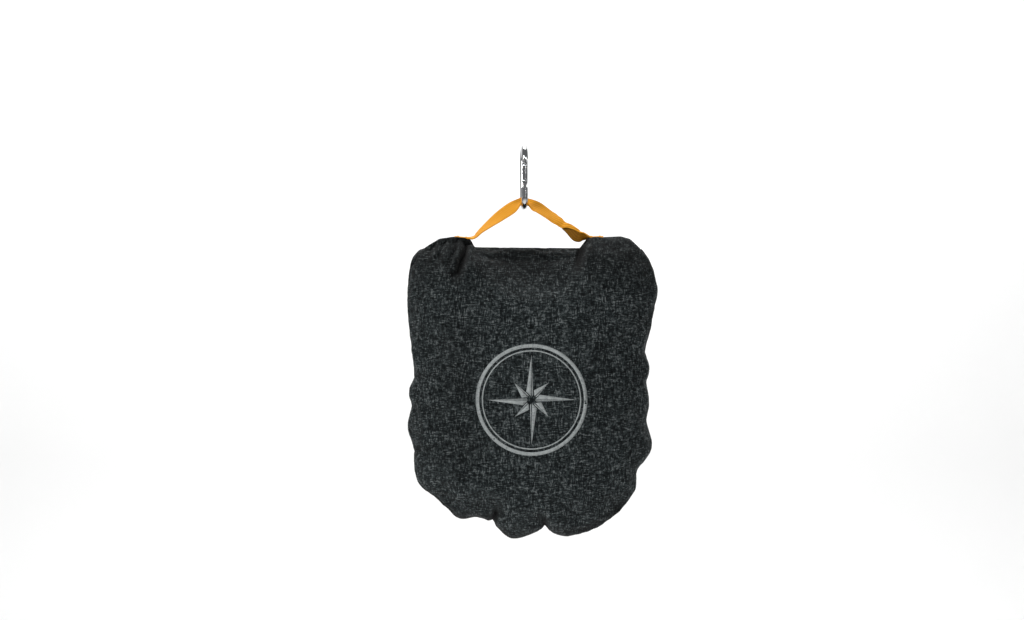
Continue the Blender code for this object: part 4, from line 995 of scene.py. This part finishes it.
thread_dark = thread_finish("charcoal_thread", (0.02, 0.023, 0.024), (0.07, 0.075, 0.077), 0.6)
graph = bpy.context.evaluated_depsgraph_get()
back_trees = {1: BVHTree.FromObject(back_upper, graph), -1: BVHTree.FromObject(back_lower, graph)}
rows = []
for sign, panel_tree in back_trees.items():
    for gap in (2.4, 5.2):
        row = []
        for x in np.linspace(-SLOT_LENGTH / 2 - 4, SLOT_LENGTH / 2 + 4, 80):
            spot = Vector(((POUCH_OFFSET + x) / 1000, 0.2, (ZIP_Z + sign * (SLOT_HEIGHT / 2 + gap)) / 1000))
            hit, normal, _, _ = panel_tree.ray_cast(spot, Vector((0, -1, 0)))
            row.append((tuple((hit + normal * 0.0001) * 1000), tuple(normal)))
        rows.append(row)
zip_stitches = threads_along("zip_stitches", rows, thread_dark, 3.0, 0.17, 2.4, 0.14, 0.0, 0.05)
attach(zip_stitches, "pouch")

# -------------------- Stops, slider, pull and the cast metal they share
# Cast zinc with a dark satin coating, smudged and finely scratched. The stops are clinched over the
# coil's ends, the slider runs on the coil, and the pull hangs from the slider's bridge.

scratches, given, given_out = shader_group("fine_scratches", (("Scale", 60),), ("Scratches", "Smudges"))
drawn = node(
    scratches, "ShaderNodeMapping",
    {"Vector": given.outputs["Vector"], "Scale": (14.0, 14.0, 1.0), "Rotation": (0.3, 0.2, 0.0)},
)
lines = noise(scratches, drawn.outputs[0], given.outputs["Scale"], 4.0, Roughness=0.75)
smudge = noise(scratches, given.outputs["Vector"], given.outputs["Scale"], 2.0)
scratches.links.new(lines, given_out.inputs["Scratches"])
scratches.links.new(smudge, given_out.inputs["Smudges"])


def metal_finish(name, dark, light, low, high, scale, lift):
    made, tree, shader = shaded(name, Metallic=1.0)
    marks = node(tree, "ShaderNodeGroup", {"Vector": own_place(tree), "Scale": scale}, node_tree=scratches)
    tree.links.new(ramp(tree, marks.outputs["Smudges"], ((0.3, dark), (0.7, light))), shader.inputs["Base Color"])
    tree.links.new(spread(tree, marks.outputs["Scratches"], low, high, 0.3, 0.7), shader.inputs["Roughness"])
    bumped(tree, shader, marks.outputs["Scratches"], lift, 0.0002)
    return made


def eased(name, cad_node, finish, width, body):
    """A copy of a CAD piece with its edges eased, standing for the piece."""
    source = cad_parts[cad_node]
    mesh = source.data.copy()
    shape = bmesh.new()
    shape.from_mesh(mesh)
    shape.transform(source.matrix_world)
    bmesh.ops.remove_doubles(shape, verts=shape.verts, dist=2e-6)
    bmesh.ops.dissolve_limit(shape, angle_limit=math.radians(1.5), verts=shape.verts, edges=shape.edges)
    bmesh.ops.recalc_face_normals(shape, faces=shape.faces)
    shape.to_mesh(mesh)
    shape.free()
    mesh.materials.clear()
    mesh.materials.append(finish)
    mesh.shade_smooth()
    obj = linked(bpy.data.objects.new(name, mesh))
    edge = obj.modifiers.new("eased_edges", "BEVEL")
    edge.width, edge.segments = width / 1000, 3
    edge.limit_method, edge.angle_limit = "ANGLE", math.radians(35)
    edge.harden_normals = True
    edge.use_clamp_overlap = True
    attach(obj, body)
    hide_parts(cad_node)
    return obj


cast_zinc = metal_finish("dark_cast_zinc", (0.05, 0.052, 0.056), (0.11, 0.112, 0.118), 0.28, 0.46, 90.0, 0.15)
for word in ("left", "right"):
    eased(f"zip_stop_{word}_cast", f"zip_stop_{word}", cast_zinc, 0.25, "pouch")
eased("zip_slider_cast", "zip_slider", cast_zinc, 0.22, "slider")
eased("zip_pull_cast", "zip_pull", cast_zinc, 0.3, "pull")

# -------------------- Seam tape
# A narrow woven binding folded over the raw edges of the three panels, all the way round inside the pouch.


def pulled_in(outline, distance):
    ahead = np.roll(outline, -1, 0) - outline
    ahead /= np.linalg.norm(ahead, axis=1)[:, None]
    inwards = np.stack([ahead[:, 1], -ahead[:, 0]], 1)
    both = inwards + np.roll(inwards, 1, 0)
    both /= np.linalg.norm(both, axis=1)[:, None]
    return outline + both * (distance / np.maximum((both * inwards).sum(1), 0.6))[:, None]


tape_line = seam_points(6.0)
edges = [pulled_in(tape_line, 3.6 + d) for d in (0.0, 0.0, 0.15, 2.5, 2.7, 2.7, 2.5, 0.15)]
levels = (0.15, -0.15, -0.4, -0.4, -0.15, 0.15, 0.4, 0.4)
rings = [nipped(np.array([(e[k][0], y, e[k][1]) for e, y in zip(edges, levels)])) for k in range(len(tape_line))]
run = np.concatenate([[0], np.cumsum(np.linalg.norm(np.diff(tape_line, axis=0), axis=1))])
binding = swept("seam_binding", rings, tape_cloth, closed=True, uv=(run, (0, 0, 0.3, 2.4, 2.8, 2.8, 2.4, 0.3)))
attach(binding, "pouch")
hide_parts("seam_tape")

# -------------------- Hanging loop
# One length of 15 mm polyester webbing, yellow-orange, woven in fine ribs. Its ends are sewn flat on the
# pouch's ears. It runs up from each ear, twisting, and lies cupped through the bottom of the hook.

WIRE, HOOK_LENGTH, HOOK_YAW = 6.4, 67.8, 4.5
CROWN_RADIUS, BASKET_RADIUS = 12.5, 10.5
BASKET_Z = 1.5 * WIRE - HOOK_LENGTH
WEBBING_WIDTH, WEBBING_THICKNESS, GAP = 15.0, 1.6, 0.3
BASKET_SLOPES, LEFT_WRAP, RIGHT_WRAP = (-48.0, 90.0), 34.0, 32.0
LEFT_ARM = (  # share of the way to the ear, how far it bows up, and the slope at its front and rear edges
    (0.08, 0.8, 5, 72), (0.19, 1.8, 46, 58), (0.41, 2.1, 45, 48),
    (0.66, 1.7, 28, 30), (0.85, 1.0, 16, 18), (1.0, 0.0, 16, 8),
)
RIGHT_ARM = (  # further down it is folded over: then also how sharply, and how far from its front edge
    (0.11, 0.9, 20, 75), (0.21, 1.5, 28, 68), (0.385, 1.0, 42, 40), (0.49, 0.9, 56, 24, 0.4, 0.8),
    (0.59, 1.7, 66, -50, 0.9, 0.68), (0.7, 1.6, 68, -76, 1.0, 0.44), (0.81, -0.4, 62, -80, 1.0, 0.28),
    (0.92, -3.0, 44, -78, 1.0, 0.18), (1.0, -0.4, 0, -50, 0.5, 0.3),
)
STEPS = 8
SEWN_TURNS = ((6.0, 0.3), (9.0, 0.0), (14.5, 0.0), (20.0, 0.0))


def ear_top(x):
    return float(np.interp(x, ear_line[:, 0], ear_line[:, 1]))


def basket_station(turn):
    cup = BASKET_RADIUS - WIRE / 2 - GAP - WEBBING_THICKNESS / 2
    lean, angle, yaw = math.radians(sum(BASKET_SLOPES) / 2), math.radians(turn), math.radians(HOOK_YAW)
    rearwards, rise = cup * math.sin(lean), BASKET_RADIUS - cup * math.cos(lean)
    across, up = rise * math.sin(angle), rise * math.cos(angle)
    x = across * math.cos(yaw) - rearwards * math.sin(yaw)
    y = across * math.sin(yaw) + rearwards * math.cos(yaw)
    return [x, y, BASKET_Z + up, HOOK_YAW, *BASKET_SLOPES, 0, 0.5]


def arm_stations(start, end, arm):
    start, end = np.array(start[:4]), np.array([*end, 0.0])
    run, _, rise, _ = end - start
    up = np.array([-rise, 0, run, 0]) / math.hypot(run, rise) * math.copysign(1, run)
    return [
        [*(start + (end - start) * share + up * bow), front, rear, *(fold or (0, 0.5))]
        for share, bow, front, rear, *fold in arm
    ]


def sewn_stations(corner, away, slopes):
    rows = []
    for out, turn in SEWN_TURNS:
        x = corner + away * (out - 4.5)
        mixed = [flat + (slope - flat) * turn for flat, slope in zip((8.0, -8.0), slopes)]
        rows.append([x, 0.0, ear_top(x) + GAP + WEBBING_THICKNESS / 2 + turn, 0.0, *mixed, 0, 0.5])
    return rows


def through(stations):
    """Points on a smooth line through the stations."""
    rows = np.array(stations, float)
    padded = np.vstack([2 * rows[0] - rows[1], rows, 2 * rows[-1] - rows[-2]])
    made = []
    for i in range(len(rows) - 1):
        a, b, c, d = padded[i : i + 4]
        for t in np.arange(STEPS) / STEPS:
            square, cube = 2 * a - 5 * b + 4 * c - d, 3 * b - a - 3 * c + d
            made.append(0.5 * (2 * b + (c - a) * t + square * t**2 + cube * t**3))
    return np.array(made + [rows[-1]])


ends, corners = {}, {}
for side, away, corner, lift in (("left", -1, len(SEAM_LINE) - 1, 1.2), ("right", 1, 2, 2.6)):
    x = POUCH_OFFSET + SEAM_LINE[corner][0]
    corners[side] = x
    ends[side] = (x - away * 4.5, 0.0, ear_top(x) + GAP + WEBBING_THICKNESS / 2 + lift)
wrap = [basket_station(t) for t in np.linspace(-LEFT_WRAP, RIGHT_WRAP, 23)]
left = arm_stations(wrap[0], ends["left"], LEFT_ARM) + sewn_stations(corners["left"], -1, LEFT_ARM[-1][2:4])
right = arm_stations(wrap[-1], ends["right"], RIGHT_ARM) + sewn_stations(corners["right"], 1, RIGHT_ARM[-1][2:4])
stations = np.vstack([through(left[::-1] + [wrap[0]]), np.array(wrap[1:-1]), through([wrap[-1], *right])])
sewn = STEPS * len(SEWN_TURNS)
last = len(stations) - 1 - sewn
heading = np.gradient(stations[:, (0, 2)], axis=0)
heading /= np.linalg.norm(heading, axis=1)[:, None]
for k, (run, rise) in enumerate(heading.copy()):
    near = max(math.exp(-((k - sewn) / 3) ** 2), math.exp(-((k - last) / 3) ** 2))
    turned = np.array([run, rise]) * (1 - near) + np.array([1.0, 0.0]) * near
    heading[k] = turned / np.linalg.norm(turned)

RIB_WIDTH = 2.5
MIDDLE = 20  # the middle one of the points across the webbing
across = np.linspace(-WEBBING_WIDTH / 2, WEBBING_WIDTH / 2, 2 * MIDDLE + 1)
edge = np.clip((np.abs(across) - WEBBING_WIDTH / 2 + 0.8) / 0.8, 0, 1)
ribs = 1 + 0.05 * np.cos(2 * math.pi * across / RIB_WIDTH)
thick = WEBBING_THICKNESS * np.sqrt(np.maximum(1 - edge**2 * 0.9, 0.05)) * ribs
strap_rows = []
for (x, y, z, yaw, front, rear, folded, fold), (run, rise) in zip(stations, heading):
    even = across / WEBBING_WIDTH + 0.5
    sharp = np.clip((even - fold) / 0.22 + 0.5, 0, 1)
    slope = np.radians(front + (rear - front) * (even + (sharp * sharp * (3 - 2 * sharp) - even) * folded))
    step = across[1] - across[0]
    middle = (slope[1:] + slope[:-1]) / 2
    side = np.concatenate([[0], np.cumsum(np.cos(middle)) * step])
    up = np.concatenate([[0], np.cumsum(np.sin(middle)) * step])
    side, up = side - side[MIDDLE], up - up[MIDDLE]
    turn = math.radians(yaw)
    rearwards = np.array([-math.sin(turn), math.cos(turn), 0.0])
    upwards = np.array([-rise * math.cos(turn), -rise * math.sin(turn), run])
    centre = np.array([x, y, z]) + side[:, None] * rearwards + up[:, None] * upwards
    out = np.cos(slope)[:, None] * upwards - np.sin(slope)[:, None] * rearwards
    strap_rows.append(np.vstack([centre + out * thick[:, None] / 2, (centre - out * thick[:, None] / 2)[::-1]]))
strap_run = np.concatenate([[0], np.cumsum(np.linalg.norm(np.diff(stations[:, :3], axis=0), axis=1))])
strap_across = np.concatenate([across, across[::-1]])

webbing = woven_finish(
    "orange_webbing_weave", (0.46, 0.16, 0.006), (0.93, 0.42, 0.03), 1.0, RIB_WIDTH, 0.72, 0.8, 0.35
)
tree = webbing.node_tree
shader = tree.nodes["Principled BSDF"]
# Painted shadow: the inner face of the folded-over webbing is darkened where the front of the fold shades it.
painted_shade_in_folds(tree, shader, shader.inputs["Base Color"].links[0].from_socket, 0.3)
JOIN = 13.0  # the webbing is cut into its pieces this far above each ear
left_join = int(np.argmin(np.abs(stations[:, 0] - (stations[sewn, 0] + JOIN))))
right_join = int(np.argmin(np.abs(stations[:, 0] - (stations[last, 0] - JOIN))))
strap_parts = {
    "left_webbing": (0, left_join), "loop_webbing": (left_join, right_join),
    "right_webbing": (right_join, len(stations) - 1),
}
straps = {}
for name, (first, end) in strap_parts.items():
    part = slice(first, end + 1)
    strap = straps[name] = swept(name, strap_rows[part], webbing, uv=(strap_run[part], strap_across))
    strap.data.set_sharp_from_angle(angle=math.radians(62))
    # the folded part's inner face is marked for painted shadow
    shade = strap.data.attributes.new("painted_fold_shade", "FLOAT", "POINT")
    inner = [k > 2 * MIDDLE for k in range(len(strap_across))]
    shade.data.foreach_set("value", [float(row[6]) * k for row in stations[part] for k in inner])
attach(straps["loop_webbing"], "loop")
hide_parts("hang_loop")
for side, edge_x, away in (("left", stations[sewn, 0], -1), ("right", stations[last, 0], 1)):
    strap = straps[f"{side}_webbing"]
    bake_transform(strap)
    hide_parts(f"sewn_end_{side}")
for name, strap in straps.items():
    first, end = strap_parts[name]
    length = (strap_run[end] - strap_run[first]) / 1000

# -------------------- Bar tacks
# Two dense bars of orange thread across each sewn end hold the webbing down through the ear.

thread_orange = thread_finish("orange_thread_twist", (0.5, 0.19, 0.012), (0.85, 0.37, 0.03), 0.5)
graph = bpy.context.evaluated_depsgraph_get()
for side, away in (("left", -1), ("right", 1)):
    strap_tree = BVHTree.FromObject(straps[f"{side}_webbing"], graph)
    for place, word in ((8.0, "inner"), (16.5, "outer")):
        x = ends[side][0] + away * place
        line = []
        for y in np.linspace(-6, 6, 25):
            hit, normal, _, _ = strap_tree.ray_cast(Vector((x / 1000, y / 1000, 0.0)), Vector((0, 0, -1)))
            line.append((tuple((hit + normal * 0.0001) * 1000), tuple(normal)))
        tack = threads_along(
            f"bar_tack_{side}_{word}_thread", [line], thread_orange, 0.42, 0.24, 2.1, 0.22, math.pi / 2, 0.1
        )
        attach(tack, "pouch")
        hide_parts(f"bar_tack_{side}_{word}")

# -------------------- The pillow inside
# Two leaves of shredded-foam pillow, folded at the bottom and stuffed in: the foam, a thin woven liner
# round it, and a soft knitted cover. The fold turns part of the cover in between the leaves.

INNER_RINGS = tuple(math.sin(t) for t in np.linspace(math.pi / 2, 0.12, 15))


def inner_lens(name, step, finish):
    """The stuffed pillow's closed outer form, step millimetres in from its skin."""
    outline = even_out(seam_points(12.0), 10)
    inset = 14.0 + step
    rings = []
    for side, below, shares_in in ((-1, 7.5, INNER_RINGS[::-1]), (1, 11.5, INNER_RINGS[1:])):
        depth = POUCH_DEPTH - below - step
        for share in shares_in:
            spots = POUCH_CENTRE + (pulled_in(outline, inset) - POUCH_CENTRE) * share
            y = stand(spots[:, 0], spots[:, 1], np.full(len(spots), share), depth)
            if side > 0:
                y = zip_drawn(spots[:, 0], spots[:, 1], y, ZIP_FACE - 11.5 - step)
            rings.append([(x, side * d, z) for (x, z), d in zip(spots, y)])
    return swept(name, rings, finish)


def pressed(obj, tool, operation="DIFFERENCE"):
    """Cuts one closed shape with another, which is then thrown away."""
    cut = obj.modifiers.new("cut", "BOOLEAN")
    cut.operation, cut.solver, cut.object = operation, "EXACT", tool
    result = bpy.data.meshes.new_from_object(obj.evaluated_get(bpy.context.evaluated_depsgraph_get()))
    obj.modifiers.clear()
    obj.data = result
    bpy.data.objects.remove(tool)
    return obj


def fold_shape(name, half, top, bottom, low, high, finish):
    bend = [(-half * math.cos(t), bottom - half * math.sin(t)) for t in np.linspace(0, math.pi, 17)]
    outline = [(-half, top), *bend, (half, top)]
    return swept(name, [[(x, y, z) for y, z in outline] for x in np.linspace(low, high, 24)], finish)


def soft_finish(name, dark, light, pitch, slub, roughness, lift):
    made, tree, shader = shaded(name, Roughness=roughness)
    inputs = {"Vector": own_place(tree), "Pitch": pitch, "Slub": slub}
    yarns = node(tree, "ShaderNodeGroup", inputs, node_tree=slubs)
    mixed = maths(tree, "MULTIPLY_ADD", yarns.outputs["Weave"], 0.08, yarns.outputs["Threads"])
    tree.links.new(ramp(tree, mixed, ((0.35, dark), (0.65, light))), shader.inputs["Base Color"])
    bumped(tree, shader, mixed, lift, 0.0006)
    return made


knit = soft_finish("pillow_knit_soft", (0.22, 0.235, 0.24), (0.38, 0.4, 0.41), 1.3, 2.6, 0.92, 0.4)
lining = soft_finish("liner_plain_weave", (0.62, 0.62, 0.6), (0.8, 0.8, 0.78), 0.6, 3.0, 0.8, 0.25)
foam_open = soft_finish("foam_cells", (0.6, 0.55, 0.4), (0.85, 0.8, 0.66), 1.5, 1.5, 0.95, 0.7)
inner_outline = even_out(seam_points(12.0), 10)
inner_left, inner_right = inner_outline[:, 0].min() + 14, inner_outline[:, 0].max() - 14
fold_bottom = inner_outline[:, 1].min() + 62
FOLD_GAP = 3.6  # half the space between the two leaves
soft = {}
for name, step, wall, finish, cad_node, slot in (
    ("pillow_cover_skin", 0.0, 1.0, knit, "pillow_cover", "pillow_knit"),
    ("pillow_liner_skin", 1.5, 0.7, lining, "pillow_liner", "liner_cloth"),
):
    skin = pressed(inner_lens(name, step, finish), inner_lens("hollow", step + wall, finish))
    mouth = fold_shape(
        "mouth", FOLD_GAP, POUCH_TOP + 20, POUCH_CENTRE[1] + 70, inner_left + 42, inner_right - 42, finish
    )
    soft[name] = pressed(skin, mouth)
    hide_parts(cad_node)
foam = pressed(
    inner_lens("foam_filling", 2.8, foam_open),
    fold_shape("fold", FOLD_GAP, POUCH_TOP + 20, fold_bottom, inner_left - 20, inner_right + 20, foam_open),
)
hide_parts("foam_fill")
turned_in = fold_shape(
    "pillow_cover_turned_in", 2.8, POUCH_TOP - 62, fold_bottom, inner_left + 43, inner_right - 43, knit
)
hollow = fold_shape("turned_in_hollow", 1.8, POUCH_TOP - 55, fold_bottom, inner_left, inner_right, knit)
pressed(turned_in, hollow)
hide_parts("pillow_cover_inner_face")
for obj in (soft["pillow_cover_skin"], soft["pillow_liner_skin"], foam, turned_in):
    obj.data.shade_smooth()
    obj.data.set_sharp_from_angle(angle=math.radians(60))
    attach(obj, "pouch")
for name in ("pillow_cover_skin", "pillow_liner_skin"):
    area = round(cloth_area(soft[name]) / 2, 4)
area = round(cloth_area(turned_in) / 2, 4)

# -------------------- Snap hook
# Polished steel wire bent to a pear, with a tongue at each end: the gate turns on the lower one and
# catches the upper one. The gate is turned from bar and slotted at both ends.

GATE_RADIUS = 2.9
CROWN_CENTRE = np.array([0.0, WIRE / 2 - CROWN_RADIUS])
BASKET_CENTRE = np.array([0.0, BASKET_Z + BASKET_RADIUS])
TANGENT_Z = -(CROWN_RADIUS - BASKET_RADIUS) / (CROWN_CENTRE[1] - BASKET_CENTRE[1])
TANGENT = np.array([-math.sqrt(1 - TANGENT_Z**2), TANGENT_Z])
GATE_FOOT, GATE_HEAD = BASKET_CENTRE + BASKET_RADIUS * TANGENT, CROWN_CENTRE + CROWN_RADIUS * TANGENT
GATE_UP = (GATE_HEAD - GATE_FOOT) / np.linalg.norm(GATE_HEAD - GATE_FOOT)
PIVOT = GATE_FOOT + GATE_UP * 14.2
GATE_LENGTH = float(np.linalg.norm(GATE_HEAD - PIVOT)) - 2 * GAP
HOOK_TURN = Matrix.Rotation(math.radians(HOOK_YAW), 4, "Z")
GATE_LEAN = Matrix.Rotation(math.atan2(-GATE_UP[0], GATE_UP[1]), 4, "X")
GATE_PLACE = HOOK_TURN @ Matrix.Translation((0, PIVOT[0], PIVOT[1])) @ GATE_LEAN

steel = metal_finish("polished_steel_worn", (0.58, 0.585, 0.6), (0.74, 0.745, 0.75), 0.08, 0.2, 45.0, 0.03)


def placed(points, place):
    return [tuple(place @ Vector(tuple(float(c) for c in p))) for p in points]


def prism(name, outline, low, high, place):
    """A plate across the hook: an outline of (y, z) between two x."""
    return swept(name, [placed([(x, y, z) for y, z in outline], place) for x in (low, high)], steel)


def turned(name, profile, place, sides=40, axis="Z"):
    """A shape turned on a lathe from (radius, height), with its poles closed."""
    around = np.linspace(0, 2 * math.pi, sides + 1)[:-1]
    rings = []
    for radius, height in profile:
        ring = [(radius * math.cos(t), radius * math.sin(t), height) for t in around]
        if axis == "X":
            ring = [(z, x, y) for x, y, z in ring]
        rings.append(placed(ring, place))
    return swept(name, rings, steel)


shoulder = GATE_RADIUS + 1.1
lean = math.asin(-TANGENT[1])
route = [PIVOT - GATE_UP * s for s in np.linspace(shoulder, shoulder + 3, 4)]
for centre, radius, start, end, count in (
    (BASKET_CENTRE, BASKET_RADIUS, math.pi + lean, 2 * math.pi - lean, 41),
    (CROWN_CENTRE, CROWN_RADIUS, -lean, math.pi + lean, 49),
):
    route += [centre + radius * np.array([math.cos(t), math.sin(t)]) for t in np.linspace(start, end, count)]
route = np.array(route)
way = np.gradient(route, axis=0)
way /= np.linalg.norm(way, axis=1)[:, None]
around = np.linspace(0, 2 * math.pi, 37)[:-1]
rings = []
for (y, z), (dy, dz) in zip(route, way):
    section = [(WIRE / 2 * math.cos(t), WIRE / 2 * math.sin(t)) for t in around]
    rings.append([(x, y - out * dz, z + out * dy) for x, out in section])
for end, back in ((0, 1), (-1, -2)):
    centre, inner = np.array(rings[end]).mean(0), np.array(rings[back]).mean(0)
    out = (centre - inner) / np.linalg.norm(centre - inner)
    flat = np.array(rings[end])
    eased_ring = centre + (flat - centre) * 0.86
    rings[end] = [tuple(p) for p in flat - out * 0.5]
    if end == 0:
        rings.insert(0, [tuple(p) for p in eased_ring])
    else:
        rings.append([tuple(p) for p in eased_ring])
hook_wire = swept("hook_wire", [placed(r, HOOK_TURN) for r in rings], steel)
half = 1.2
tongue = GATE_RADIUS - GAP
arch = [(tongue * math.cos(t), tongue * math.sin(t)) for t in np.linspace(0, math.pi, 21)]
foot = -(GATE_RADIUS + 2.2)
lower_tongue = prism("lower_tongue", [(tongue, foot), *arch, (-tongue, foot)], -half, half, GATE_PLACE)
pressed(hook_wire, lower_tongue, "UNION")
nose = [(-2.2, 1.8), (2.2, 1.8), (2.2, -4.8), (-1.4, -4.8), (-2.2, -4.0)]
nose = [(y, GATE_LENGTH + z) for y, z in nose]
pressed(hook_wire, prism("nose_tongue", nose, -half, half, GATE_PLACE), "UNION")
PIN_Z = GATE_LENGTH - 3.2
notch = 1.2
slot_shape = [(-notch, PIN_Z - notch), (6, PIN_Z - notch), (6, PIN_Z + notch), (-notch, PIN_Z + notch)]
pressed(hook_wire, prism("latch_notch", slot_shape, -4, 4, GATE_PLACE))
pressed(hook_wire, turned("tongue_hole", ((1.5, -4), (1.5, 4)), GATE_PLACE, 24, "X"))
hook_wire.data.shade_smooth()
hook_wire.data.set_sharp_from_angle(angle=math.radians(32))

profile = [(0.02, -GATE_RADIUS)]
profile += [(GATE_RADIUS * math.sin(t), -GATE_RADIUS * math.cos(t)) for t in np.linspace(0.15, math.pi / 2, 9)]
profile += [(GATE_RADIUS, z) for z in np.linspace(3, GATE_LENGTH - 8.5, 4)]
HEAD = ((0.25, 8.2), (0.25, 7.6), (0, 7.3), (0, 0.7), (0.2, 0.2), (0.7, 0))  # in from its side, down from its end
profile += [(GATE_RADIUS - inwards, GATE_LENGTH - down) for inwards, down in HEAD]
gate = turned("hook_gate_turned", profile, GATE_PLACE)
slot_half = half + GAP
for name, low, high in (
    ("pivot_slot", -5, tongue + 2 * GAP), ("latch_slot", GATE_LENGTH - 5.6, GATE_LENGTH + 2),
):
    outline = [(-5, low), (5, low), (5, high), (-5, high)]
    pressed(gate, prism(name, outline, -slot_half, slot_half, GATE_PLACE))
pressed(gate, turned("rivet_hole", ((1.5, -4), (1.5, 4)), GATE_PLACE, 24, "X"))
pressed(gate, turned("pin_hole", ((1.2, -4), (1.2, 4)), GATE_PLACE @ Matrix.Translation((0, 0, PIN_Z)), 20, "X"))
pressed(gate, turned("spring_bore", ((1.75, 1), (1.75, GATE_RADIUS + 14)), GATE_PLACE, 24))
gate.data.shade_smooth()
gate.data.set_sharp_from_angle(angle=math.radians(32))


def domed(name, radius, half_length, place):
    ends = [(radius * math.cos(t), half_length + 0.35 * math.sin(t) - 0.35) for t in np.linspace(0, 1.45, 6)]
    return turned(name, [(r, -h) for r, h in ends[::-1]] + ends, place, 24, "X")


rivet = domed("gate_rivet_domed", 1.2, GATE_RADIUS - 0.35, GATE_PLACE)
pin = domed("latch_pin_domed", 0.9, GATE_RADIUS - 0.2, GATE_PLACE @ Matrix.Translation((0, 0, PIN_Z)))
for obj, body, cad_node in (
    (hook_wire, "hook", "hook_body"), (gate, "gate", "hook_gate"),
    (rivet, "hook", "gate_rivet"), (pin, "gate", "latch_pin"),
):
    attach(obj, body)
    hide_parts(cad_node)
for cad_node in ("gate_plunger", "gate_spring"):
    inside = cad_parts[cad_node]
    for material_slot in inside.material_slots:
        material_slot.material = steel

# -------------------- Last update
# The view layer is brought up to date.

bpy.context.view_layer.update()
